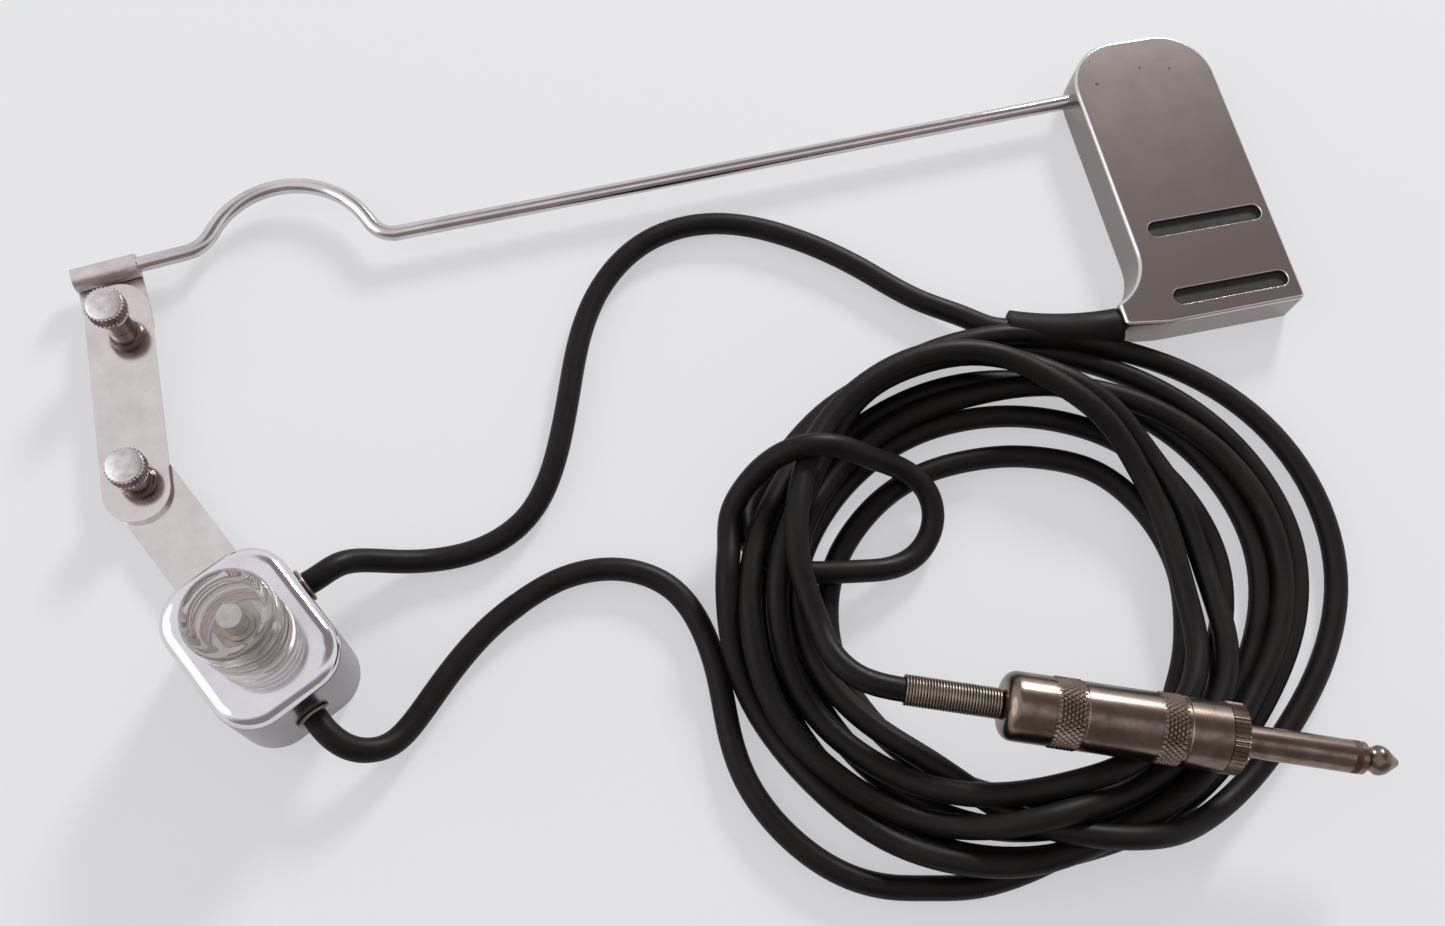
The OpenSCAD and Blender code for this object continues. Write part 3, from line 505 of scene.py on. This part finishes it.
# Vulcanised fibre washer between the plug's sleeve and tip: dark red brown.
red_fibre = moulded("vulcanised_fibre_insulator", "#40190f", "#2f130d", 0.5, 0.3, 0.01,
                    wear_mm=1.5)
# Rust under lifted nickel: matt dark brown stain.
rust_stain = moulded("rust_stained_nickel_spot", "#40342f", "#5c4f49", 0.6, 0.2, 0.01,
                     wear_mm=0.6)


ACRYLIC_IOR = 1.49


def acrylic(t):
    """Cast acrylic, lathe turned and buffed: clear, with a faint grain in its polish."""
    at = add(t, "TexCoord").outputs["Object"]
    marks = add(t, "TexNoise", {"Vector": at, "Scale": 1 / (0.8 * MM), "Detail": 4.0})
    haze = add(t, "MapRange", {"Value": marks.outputs["Fac"], "From Min": 0.45, "From Max": 0.75,
                               "To Min": 0.02, "To Max": 0.12})
    relief = add(t, "Bump", {"Height": marks.outputs["Fac"], "Strength": 1.0,
                             "Distance": 0.004 * MM})
    return add(t, "BsdfPrincipled", {"Base Color": srgb("#e6e1dc"), "Roughness": haze.outputs[0],
                                     "IOR": ACRYLIC_IOR, "Transmission Weight": 1.0,
                                     "Normal": relief.outputs[0]})


clear_acrylic = finish_material("turned_clear_acrylic_knob", acrylic)


# ---- new pieces, sizes in mm ----------------------------------------------------
MERGE = 0.002  # vertices nearer than this are one


def alone(piece):
    """Only this piece is selected and active."""
    bpy.ops.object.select_all(action="DESELECT")
    piece.select_set(True)
    bpy.context.view_layer.objects.active = piece


def apply_place(piece):
    alone(piece)
    bpy.ops.object.transform_apply(location=True, rotation=True, scale=True)


def shade_round(piece, degrees=35):
    """Smooth shading, with edges above this angle left sharp."""
    alone(piece)
    bpy.ops.object.shade_smooth_by_angle(angle=math.radians(degrees))
    bpy.ops.object.select_all(action="DESELECT")


FLATS_WEIGHT = 100  # the most that a large face can weigh against its neighbours


def keep_flats(piece):
    """The large faces stay flat and the rounds beside them take up the turn."""
    alone(piece)
    flats = piece.modifiers.new("flats", "WEIGHTED_NORMAL")
    flats.weight = FLATS_WEIGHT
    flats.keep_sharp = True
    bpy.ops.object.modifier_apply(modifier="flats")
    bpy.ops.object.select_all(action="DESELECT")


def turn_outline(name, outline, at, heading=None, steps=96):
    """A turned piece: one vertex is extruded along the outline (radius, height in mm), spun
    round its axis and set at a point in mm; heading lays the axis level, in radians."""
    bpy.ops.mesh.primitive_plane_add(size=MM)
    piece = bpy.context.object
    piece.name = name
    bpy.ops.object.mode_set(mode="EDIT")
    bpy.ops.mesh.select_all(action="SELECT")
    bpy.ops.mesh.merge(type="CENTER")
    bpy.ops.transform.translate(value=(outline[0][0] * MM, 0, outline[0][1] * MM))
    for (r0, h0), (r1, h1) in zip(outline, outline[1:]):
        bpy.ops.mesh.extrude_region_move(
            TRANSFORM_OT_translate={"value": ((r1 - r0) * MM, 0, (h1 - h0) * MM)})
    bpy.ops.mesh.select_all(action="SELECT")
    bpy.ops.mesh.spin(steps=steps, angle=2 * math.pi, center=(0, 0, 0), axis=(0, 0, 1))
    bpy.ops.mesh.select_all(action="SELECT")
    bpy.ops.mesh.remove_doubles(threshold=MERGE * MM)
    bpy.ops.mesh.normals_make_consistent(inside=False)
    bpy.ops.object.mode_set(mode="OBJECT")
    if heading is not None:
        piece.rotation_euler = (0, math.pi / 2, heading)
    piece.location = [v * MM for v in at]
    apply_place(piece)
    shade_round(piece)
    return piece


def smooth_copy(node, name, degrees=38):
    """A merged copy of a solid, with its rounds shaded smooth, that stands for it."""
    piece = NODES[node].copy()
    piece.data = NODES[node].data.copy()
    piece.name = name
    bpy.context.scene.collection.objects.link(piece)
    for key in list(piece.keys()):
        del piece[key]
    piece.parent = None
    alone(piece)
    bpy.ops.mesh.customdata_custom_splitnormals_clear()
    bpy.ops.object.mode_set(mode="EDIT")
    bpy.ops.mesh.select_all(action="SELECT")
    bpy.ops.mesh.remove_doubles(threshold=2 * MERGE * MM)
    bpy.ops.object.mode_set(mode="OBJECT")
    shade_round(piece, degrees)
    keep_flats(piece)
    return piece


def stand_in(piece, material, slot, body, *nodes):
    """The piece gets its finish, rides on its body and stands for these solids."""
    piece.data.materials.clear()
    piece.data.materials.append(material)
    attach(piece, body)
    if nodes:
        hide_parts(*nodes)
    return piece


def in_mm(node):
    """The two corners of a solid's box."""
    low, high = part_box(node)
    return low / MM, high / MM


AT_HEIGHT = 0.02  # a vertex is at a height within this
UPRIGHT, LEVEL = 0.1, 0.99  # heights of the normals of an upright and of a level face


def sharp_rims(piece, z_mm):
    """Selects the sharp edges between a level face and an upright wall at this height."""
    mesh = piece.data
    normals = {}
    for face in mesh.polygons:
        for key in face.edge_keys:
            normals.setdefault(key, []).append(face.normal.z)
    for edge in mesh.edges:
        z = sorted(abs(n) for n in normals.get(edge.key, []))
        level = all(abs(mesh.vertices[v].co.z / MM - z_mm) < AT_HEIGHT for v in edge.vertices)
        edge.select = len(z) == 2 and level and z[0] < UPRIGHT and z[1] > LEVEL


SLOT_BREAK = 0.18  # width of the broken edge round the cover's slots
FLAT_WITHIN = 0.4  # degrees between two faces that become one


def make_cover():
    """Pressed sheet: the cut edges of its slots are broken, so that they catch the light."""
    cover = smooth_copy("pickup_cover", "cover_pressed_shell")
    alone(cover)
    bpy.ops.object.mode_set(mode="EDIT")
    bpy.ops.mesh.select_all(action="SELECT")
    bpy.ops.mesh.dissolve_limited(angle_limit=math.radians(FLAT_WITHIN))
    bpy.ops.mesh.select_all(action="DESELECT")
    bpy.ops.mesh.select_mode(type="EDGE")
    bpy.ops.object.mode_set(mode="OBJECT")
    sharp_rims(cover, in_mm("pickup_cover")[1].z)
    bpy.ops.object.mode_set(mode="EDIT")
    bpy.ops.mesh.bevel(offset=SLOT_BREAK * MM, segments=2, affect="EDGES")
    bpy.ops.mesh.select_mode(type="VERT")
    bpy.ops.object.mode_set(mode="OBJECT")
    shade_round(cover, 38)
    keep_flats(cover)
    return stand_in(cover, satin_nickel, "cover_nickel", "pickup", "pickup_cover")


# heights and radii of the thumbscrews; the core is what the head has inside its knurled rim
HEAD_H, HEAD_R, CORE_R, NECK_R, THREAD_R = 3.6, 4.0, 3.64, 2.7, 1.75
COLLAR_H, GROOVE_H = 1.2, 0.5
CHAMFER = 0.3
# the collar's bead: how far it stands out of the neck, and how far above the collar's foot
BEAD = ((0, -0.3), (0.3, 0), (0.62, 0.12), (0.8, 0.4), (0.8, 0.8), (0.62, 1.08),
        (0.3, COLLAR_H), (-0.1, COLLAR_H + 0.05))
KNURLS = 30  # the real one has about 40, too fine to show at this size
KNURL_DEPTH = 0.4
RIM_H = 3.05  # of the knurled part of the head
RIM_UP = 0.22  # from the head's underside to the knurls
PLATE_TOP = in_mm("clamp_plate")[1].z


def make_screw(node, body):
    """Turned brass: threaded end, neck, rounded collar, groove, then the knurled head."""
    low, high = in_mm(node)
    x, y = (low.x + high.x) / 2, (low.y + high.y) / 2
    head = high.z - HEAD_H
    collar = head - GROOVE_H - COLLAR_H
    outline = [(0, low.z), (THREAD_R - CHAMFER, low.z), (THREAD_R, low.z + CHAMFER),
               (THREAD_R, PLATE_TOP), (NECK_R - CHAMFER / 2, PLATE_TOP),
               (NECK_R, PLATE_TOP + CHAMFER / 2)]
    outline += [(NECK_R + out, collar + up) for out, up in BEAD]
    outline += [(NECK_R - 0.1, head), (HEAD_R - 0.6, head + 0.05), (CORE_R, head + 0.25),
                (CORE_R, high.z - 0.3), (HEAD_R - 0.5, high.z - 0.1), (HEAD_R - 0.85, high.z),
                (0, high.z)]
    screw = turn_outline(node + "_turned", outline, (x, y, 0), steps=80)
    # the rim has two vertices for each knurl, and every other one is drawn in
    bpy.ops.mesh.primitive_cylinder_add(vertices=2 * KNURLS, radius=HEAD_R * MM,
                                        depth=RIM_H * MM)
    rim = bpy.context.object
    bpy.ops.object.mode_set(mode="EDIT")
    bpy.ops.mesh.select_all(action="DESELECT")
    bpy.ops.mesh.select_mode(type="VERT")
    bpy.ops.object.mode_set(mode="OBJECT")
    for v in rim.data.vertices:
        v.select = round(math.atan2(v.co.y, v.co.x) * KNURLS / math.pi) % 2 == 0
    bpy.ops.object.mode_set(mode="EDIT")
    shrink = (HEAD_R - KNURL_DEPTH) / HEAD_R
    bpy.ops.transform.resize(value=(shrink, shrink, 1))
    bpy.ops.object.mode_set(mode="OBJECT")
    rim.location = (x * MM, y * MM, (head + RIM_UP + RIM_H / 2) * MM)
    apply_place(rim)
    alone(screw)
    rim.select_set(True)
    bpy.ops.object.join()
    bpy.ops.object.select_all(action="DESELECT")
    return stand_in(screw, turned_nickel, "screw_nickel", body, node)


RINGS = 3
GROOVE_R, GROOVE_OUT = 0.72, 0.18  # a groove's round, and how far its middle lies outside


def make_knob():
    """Turned from clear rod: three ring grooves, a broken top edge and a shallow dished face."""
    low, high = in_mm("control_knob")
    mid, r, h = (low + high) / 2, (high.x - low.x) / 2, high.z - low.z
    outline = [(0, 0), (r - 0.5, 0), (r, 0.5)]
    for ring in range(1, RINGS + 1):
        for a in np.radians(np.arange(-80, 81, 20)):
            outline.append((r + GROOVE_OUT - GROOVE_R * math.cos(a),
                            ring * h / (RINGS + 2) + GROOVE_R * math.sin(a)))
    outline += [(r, h - 0.75), (r - 0.12, h - 0.4), (r - 0.4, h - 0.12), (r - 0.8, h),
                (r - 1.5, h - 0.02), (r - 2.0, h - 0.2), (r - 2.6, h - 0.3), (0, h - 0.3)]
    knob = turn_outline("knob_turned_acrylic", outline, (mid.x, mid.y, low.z))
    return stand_in(knob, clear_acrylic, "clear_acrylic", "knob", "control_knob")


BARREL_R, BARREL_LEN, BARREL_WALL, DOME_R, WIRE_HOLE_R = 6.7, 43.0, 1.1, 2.6, 2.55
KNURL_BANDS = ((0.215, 0.35), (0.685, 0.81))  # from and to, in shares of the barrel's length
BAND_CUT = 0.16  # the knurled bands are cut this deep


def make_barrel():
    """Turned brass sleeve: domed rear end, a fine groove beside each band, open front."""
    outline = [(WIRE_HOLE_R, 0.0), (3.4, 0.0)]
    outline += [(BARREL_R - DOME_R + DOME_R * math.sin(a), DOME_R - DOME_R * math.cos(a))
                for a in np.radians(np.arange(10, 91, 10))]
    for low, high in KNURL_BANDS:
        a, b = low * BARREL_LEN, high * BARREL_LEN
        outline += [(BARREL_R, a - 0.25), (BARREL_R - BAND_CUT, a - 0.1),
                    (BARREL_R - BAND_CUT, b + 0.1), (BARREL_R, b + 0.25)]
    outline += [(BARREL_R, BARREL_LEN - 0.2), (BARREL_R - 0.2, BARREL_LEN),
                (BARREL_R - BARREL_WALL, BARREL_LEN), (BARREL_R - BARREL_WALL, 2.4),
                (WIRE_HOLE_R, 1.6), (WIRE_HOLE_R, 0.0)]
    barrel = turn_outline("plug_barrel_turned", outline, PLUG_AT, PLUG_HEADING)
    return stand_in(barrel, aged_nickel, "plug_nickel", "pickup", "plug_barrel")


DIAMONDS = 40  # round the barrel
DIAMOND_LONG, DIAMOND_HIGH = 1.46, 0.36
DIAMOND_OVERLAP = 1.02  # each is this much larger than its place, so that none stands free


def make_knurl():
    """Diamond knurl 1.05 mm round by 1.46 mm along: one low pyramid, copied in staggered
    rows."""
    across = 2 * math.pi * BARREL_R / DIAMONDS
    bpy.ops.mesh.primitive_cone_add(vertices=4, radius1=0.5 * MM, radius2=0.06 * MM,
                                    depth=DIAMOND_HIGH * MM)
    first = bpy.context.object
    first.scale = (DIAMOND_LONG * DIAMOND_OVERLAP, across * DIAMOND_OVERLAP, 1)
    first.location = (0, 0, (BARREL_R - BAND_CUT + DIAMOND_HIGH / 2) * MM)
    apply_place(first)
    # turned so that the pyramid points along x and its length lies on z, the barrel's axis
    first.rotation_euler = (0, math.pi / 2, 0)
    apply_place(first)
    copies = []
    for low, high in KNURL_BANDS:
        rows = round((high - low) * BARREL_LEN / (DIAMOND_LONG / 2)) - 1
        for row in range(rows):
            z = (low * BARREL_LEN + (row + 1) * DIAMOND_LONG / 2) * MM
            for i in range(DIAMONDS):
                angle = 2 * math.pi * (i + row % 2 / 2) / DIAMONDS
                one = first.copy()
                one.data = first.data.copy()
                one.data.transform(Matrix.Translation((0, 0, z)) @ Matrix.Rotation(angle, 4, "Z"))
                bpy.context.scene.collection.objects.link(one)
                copies.append(one)
    bpy.ops.object.select_all(action="DESELECT")
    for one in copies:
        one.select_set(True)
    bpy.context.view_layer.objects.active = copies[0]
    bpy.ops.object.join()
    knurl = copies[0]
    bpy.data.objects.remove(first)
    knurl.name = "plug_knurl_diamonds"
    knurl.rotation_euler = (0, math.pi / 2, PLUG_HEADING)
    knurl.location = [v * MM for v in PLUG_AT]
    apply_place(knurl)
    bpy.ops.object.select_all(action="DESELECT")
    return stand_in(knurl, aged_nickel, "plug_nickel", "pickup")


WIRE_D, WIRE_TURNS, SPRING_LEN, SPRING_R = 0.5, 33, 19.0, 2.75
WIRE_FULL = 1.04  # the eight-sided wire is drawn this much thicker, to look round and full
WIRE_SIDES, TURN_STEPS = 8, 28


def make_spring():
    """Close wound steel wire: a small round drawn up a helix."""
    bpy.ops.mesh.primitive_circle_add(vertices=WIRE_SIDES, radius=WIRE_D * WIRE_FULL / 2 * MM,
                                      location=(SPRING_R * MM, 0, 0),
                                      rotation=(math.pi / 2, 0, 0))
    spring = bpy.context.object
    spring.name = "plug_spring_wound"
    apply_place(spring)
    screw = spring.modifiers.new("wind", "SCREW")
    screw.axis = "Z"
    screw.iterations = WIRE_TURNS - 1
    screw.screw_offset = (SPRING_LEN - WIRE_D) / (WIRE_TURNS - 1) * MM
    screw.steps = screw.render_steps = TURN_STEPS
    screw.use_merge_vertices = False
    alone(spring)
    bpy.ops.object.modifier_apply(modifier="wind")
    bpy.ops.object.mode_set(mode="EDIT")
    bpy.ops.mesh.select_all(action="SELECT")
    bpy.ops.mesh.remove_doubles(threshold=MERGE / 2 * MM)
    bpy.ops.mesh.select_non_manifold()
    bpy.ops.mesh.edge_face_add()
    bpy.ops.mesh.select_all(action="SELECT")
    bpy.ops.mesh.normals_make_consistent(inside=False)
    bpy.ops.object.mode_set(mode="OBJECT")
    spring.rotation_euler = (0, math.pi / 2, PLUG_HEADING)
    back = SPRING_LEN - WIRE_D / 2
    start = (PLUG_AT[0] - back * math.cos(PLUG_HEADING),
             PLUG_AT[1] - back * math.sin(PLUG_HEADING), PLUG_AT[2])
    spring.location = [v * MM for v in start]
    apply_place(spring)
    shade_round(spring, 60)
    return stand_in(spring, spring_wire, "plug_nickel", "pickup", "plug_spring")


cover = make_cover()
make_screw("upper_thumbscrew", "upper_screw")
make_screw("lower_thumbscrew", "lower_screw")
make_knob()
plug_barrel = make_barrel()
plug_knurl = make_knurl()
plug_spring = make_spring()
SMOOTHED = (  # node, piece, finish, slot, body
    ("rod_clamp", "clamp_rolled_sheet", clamp_sheet, "link_nickel", "clamp"),
    ("mounting_rod", "rod_drawn_bar", drawn_rod, "rod_steel", "pickup"),
    ("plug_sleeve", "plug_sleeve_turned", aged_nickel, "plug_nickel", "pickup"),
    ("plug_tip", "plug_tip_turned", aged_nickel, "plug_nickel", "pickup"),
    ("control_housing", "box_drawn_shell", mirror_chrome, "box_chrome", "arm"))
smoothed = {node: stand_in(smooth_copy(node, name), finish, slot, body, node)
            for node, name, finish, slot, body in SMOOTHED}


# ---- the solids that stay, each in its finish ---------------------------------
def dress(material, *names):
    """Gives solids of the frame a finish in place of their own."""
    for name in names:
        node = NODES[name]
        if node.material_slots:
            for slot in node.material_slots:
                slot.link = "OBJECT"
                slot.material = material
        else:
            node.data.materials.append(material)


dress(aged_brass, "rod_socket", "lead_eyelets")
dress(sheet_steel, "pickup_base", "control_base")
dress(bobbin_plastic, "pickup_bobbins")
dress(enamelled_copper, "pickup_windings")
dress(cast_alnico, "pickup_magnets")
dress(zinc_steel, "base_screws", "upper_nut", "lower_nut", "arm_rivets", "pot_can", "pot_nut")
dress(boot_rubber, "cable_boot")
dress(link_plate, "clamp_plate", "control_arm")
dress(turned_brass, "pot_bushing")
dress(turned_aluminium, "pot_shaft")
dress(aged_nickel, "plug_collar")
dress(red_fibre, "plug_insulator")

for tube in pickup_lead + output_lead:
    tube.data.materials.clear()
    tube.data.materials.append(lead_rubber)
# Each stretch, the body on the box's side of one joint, the body beyond the joint, a first place
# and a second place. Only each stretch's place is baked in here; no stretch follows a body.
STRETCH_ENDS = (
    (pickup_lead[0], "arm", "link", (14, 12, 10), (50, 14.5, LYING)),
    (pickup_lead[1], "link", "clamp", (52, 15, LYING), (80, 63, LYING)),
    (pickup_lead[2], "clamp", "pickup", (80.5, 63.5, LYING), (127, 65, LYING)),
    (output_lead[0], "arm", "link", (9, -17, 9), (47, -1.5, LYING)),
    (output_lead[1], "link", "clamp", (48, -1, LYING), (90, -61, LYING)),
    (output_lead[2], "clamp", "pickup", (90.2, -61.4, LYING), (120, -76.2, LYING)))
for tube, near, far, start, end in STRETCH_ENDS:
    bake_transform(tube)
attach(output_lead[3], "pickup")
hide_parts("pickup_lead")
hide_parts("output_lead", "cable_coil", "tie_loop", "plug_lead")


# ---- image points -----------------------------------------------------------------
# Points in the photograph's 1445 by 926 frame: x, y, the piece, and what of it the point is:
# the middle of its visible vertices within a window round the point, or its extreme on a side.
IMAGE_POINTS = {
    "left_edge": (69, None, None, "left"),
    "right_edge": (1399, None, None, "right"),
    "top_edge": (None, 37, None, "top"),
    "bottom_edge": (None, 776, None, "bottom"),
    "rod_arch": (314, 188, "rod_drawn_bar", (7, 25)),
    "rod_second_bend": (392, 233, "rod_drawn_bar", (12, 14)),
    "upper_screw_head": (103, 304, "upper_thumbscrew_turned", (26, 26)),
    "lower_screw_head": (122, 465, "lower_thumbscrew_turned", (26, 26)),
    "box_left": (159, None, "box_drawn_shell", "left"),
    "box_lowest": (None, 748, "box_drawn_shell", "bottom"),
    "knob_face": (227, 614, "knob_turned_acrylic", (60, 60)),
    "side_eyelet": (305, 585, "lead_eyelets", (22, 32)),
    "end_eyelet": (314, 716, "lead_eyelets", (34, 25)),
    "upper_slot": (1200, 227, "cover_pressed_shell", (70, 30)),
    "lower_slot": (1235, 295, "cover_pressed_shell", (70, 30)),
    "cover_spot_left": (1097, 84, "cover_corrosion_spots", (8, 8)),
    "cover_spot_right": (1169, 68, "cover_corrosion_spots", (8, 8)),
    "plug_rear_band": (1068, 714, "plug_knurl_diamonds", (40, 50)),
    "plug_front_band": (1171, 729, "plug_knurl_diamonds", (40, 50)),
    "plug_insulator": (1356, 757, "plug_insulator", (20, 30)),
}
# of these only the level top counts
TOPS = ("upper_screw_head", "lower_screw_head", "knob_face", "upper_slot", "lower_slot")
TOP_DEPTH = 0.4
CLEAR = 0.25  # a place shows if nothing lies before it, up to this short of it
SEARCH_FROM, SEARCH_TO, SEARCH_STEPS = 0.15, 0.6, 300  # metres along a ray that misses
SPOT_LONG, SPOT_HIGH = 0.75, 0.05  # a spot's second width and its height, of its width


def finished_tree(piece):
    """The tree of a piece's faces as finished, and its vertices."""
    mesh = piece.evaluated_get(bpy.context.evaluated_depsgraph_get()).to_mesh()
    places = [v.co.copy() for v in mesh.vertices]
    return BVHTree.FromPolygons(places, [f.vertices[:] for f in mesh.polygons]), places


def place_on(tree, x, y):
    """Where the photograph's point x, y lies on a finished piece; a miss takes the place
    nearest the ray."""
    ray = photo_ray(x, y)
    spot = tree.ray_cast(CAMERA_AT, ray)[0]
    if spot is None:
        near = [tree.find_nearest(CAMERA_AT + ray * far)
                for far in np.linspace(SEARCH_FROM, SEARCH_TO, SEARCH_STEPS)]
        spot = min(near, key=lambda hit: hit[3])[0]
    return spot


def make_spots():
    """Nickel lifted by rust: two dark stains on the cover, hardly raised."""
    tree = finished_tree(cover)[0]
    spots = []
    for name, wide in (("cover_spot_left", 1.0), ("cover_spot_right", 0.8)):
        x, y = IMAGE_POINTS[name][:2]
        bpy.ops.mesh.primitive_uv_sphere_add(segments=20, ring_count=10, radius=wide / 2 * MM,
                                             location=place_on(tree, x, y))
        spots.append(bpy.context.object)
        spots[-1].scale = (1, SPOT_LONG, SPOT_HIGH)
        apply_place(spots[-1])
    spots[0].select_set(True)
    bpy.ops.object.join()
    joined = bpy.context.object
    joined.name = "cover_corrosion_spots"
    shade_round(joined, 60)
    return stand_in(joined, rust_stain, "cover_nickel", "pickup")


def write_points():
    """Works out where each thing shows near its point, in pixels of the photograph, and keeps
    nothing of it.
    """
    bpy.context.view_layer.update()
    cords = [tube.name for tube in pickup_lead + output_lead]
    pieces = {o.name: finished_tree(o) for o in bpy.context.scene.objects
              if o.type == "MESH" and not o.hide_render}
    trees = [tree for tree, _ in pieces.values()]

    def shows(place):
        way = place - CAMERA_AT
        far = way.length - CLEAR * MM
        way.normalize()
        return all(tree.ray_cast(CAMERA_AT, way, far)[0] is None for tree in trees)

    sides = {"left": (0, 1), "right": (0, -1), "top": (1, 1), "bottom": (1, -1)}
    for name, (x, y, piece, what) in IMAGE_POINTS.items():
        names = [piece] if piece else [n for n in pieces if n not in cords]
        places = [v for n in names for v in pieces[n][1]]
        seen = photo_pixels(places)
        at = [None, None]
        if what in sides:
            axis, sign = sides[what]
            at[axis] = next(seen[i, axis] for i in np.argsort(sign * seen[:, axis])
                            if shows(places[i]))
        else:
            near = (abs(seen - (x, y)) < what).all(axis=1)
            if name in TOPS:
                near &= np.array(places)[:, 2] > max(v.z for v in places) - TOP_DEPTH * MM
            near = [i for i in np.flatnonzero(near) if shows(places[i])]
            if near:
                at = list((seen[near].min(axis=0) + seen[near].max(axis=0)) / 2)


make_spots()


# ---- floor and light ----------------------------------------------------------
BACKDROP = "#e9e9eb"
GLOW_SHARE = 0.6  # of the paper's tone that shadows leave alone
FLOOR_SIZE, FLOOR_DROP = 6, 0.0002
AIM = (0.1, 0, 0)  # the lamps' aim, near the part's middle
LAMPS = (("key_lamp", (1.0, 1.15, 0.75), 0.35, 24), ("fill_lamp", (-0.9, 0.2, 0.7), 1.2, 5))


def backdrop(t):
    """Matt paper: the camera, mirrors and glass see its own pale tone, with soft shadows."""
    path = add(t, "LightPath")
    seen = add(t, "Math", {0: path.outputs["Is Camera Ray"], 1: path.outputs["Is Glossy Ray"]},
               operation="MAXIMUM")
    seen = add(t, "Math", {0: seen.outputs[0], 1: path.outputs["Is Transmission Ray"]},
               operation="MAXIMUM")
    part = add(t, "Math", {0: seen.outputs[0], 1: GLOW_SHARE}, operation="MULTIPLY")
    lit = add(t, "BsdfDiffuse", {"Color": srgb("#dcdcdf")})
    glow = add(t, "Emission", {"Color": srgb(BACKDROP), "Strength": 1.0})
    return add(t, "MixShader", {0: part.outputs[0], 1: lit.outputs[0], 2: glow.outputs[0]})


def lay_floor():
    bpy.ops.mesh.primitive_plane_add(size=FLOOR_SIZE, location=(AIM[0], AIM[1], -FLOOR_DROP))
    floor = bpy.context.object
    floor.name = "paper_floor"
    floor.data.transform(floor.matrix_world)
    floor.matrix_world.identity()
    floor.data.materials.append(finish_material("matt_paper_floor", backdrop))
    bpy.ops.object.select_all(action="DESELECT")


DIM_PATCH = Vector((0.50, 0.36, 0.79)).normalized()  # the way to its middle
PATCH_EDGE, PATCH_CORE = 0.78, 0.92  # cosines of the angle from its middle
FRONT_EDGE, FRONT_CORE = -0.35, -0.7  # where the room behind the camera grows dim


def set_world():
    """A pale room for what it lights. Metal sees pale walls and ceiling, a dim patch high up
    behind on the right, and the dim room behind the camera."""
    world = bpy.data.worlds.new("studio")
    bpy.context.scene.world = world
    world.use_nodes = True
    t = world.node_tree
    t.nodes.clear()
    path = add(t, "LightPath")
    at = add(t, "TexCoord").outputs["Generated"]
    axes = add(t, "SeparateXYZ", {0: at})
    near = add(t, "VectorMath", {0: at, 1: DIM_PATCH}, operation="DOT_PRODUCT")
    patch = add(t, "MapRange", {"Value": near.outputs["Value"], "From Min": PATCH_EDGE,
                                "From Max": PATCH_CORE}, interpolation_type="SMOOTHSTEP")
    front = add(t, "MapRange", {"Value": axes.outputs[1], "From Min": FRONT_EDGE,
                                "From Max": FRONT_CORE}, interpolation_type="SMOOTHSTEP")
    dim = add(t, "Math", {0: patch.outputs[0], 1: front.outputs[0]}, operation="MAXIMUM")
    room = blend_colours(t, dim.outputs[0], srgb("#f1eff3"), srgb("#8f8684"))
    plain = add(t, "Background", {"Color": srgb("#f4f4f6"), "Strength": 0.5})
    glossy = add(t, "Background", {"Color": room, "Strength": 1.0})
    view = add(t, "Background", {"Color": srgb(BACKDROP), "Strength": 1.0})
    mix = add(t, "MixShader", {0: path.outputs["Is Glossy Ray"], 1: plain.outputs[0],
                               2: glossy.outputs[0]})
    mix = add(t, "MixShader", {0: path.outputs["Is Camera Ray"], 1: mix.outputs[0],
                               2: view.outputs[0]})
    mix = add(t, "MixShader", {0: path.outputs["Is Transmission Ray"], 1: mix.outputs[0],
                               2: view.outputs[0]})
    t.links.new(mix.outputs[0], add(t, "OutputWorld").inputs["Surface"])


def add_lamp(name, place, size, power):
    bpy.ops.object.light_add(type="AREA", location=place)
    lamp = bpy.context.object
    lamp.name = name
    lamp.rotation_euler = (Vector(AIM) - Vector(place)).to_track_quat("-Z", "Y").to_euler()
    lamp.data.shape = "DISK"
    lamp.data.size = size
    lamp.data.energy = power
    bpy.ops.object.select_all(action="DESELECT")


write_points()
lay_floor()
set_world()
for lamp in LAMPS:
    add_lamp(*lamp)
bpy.context.scene.view_settings.view_transform = "Standard"
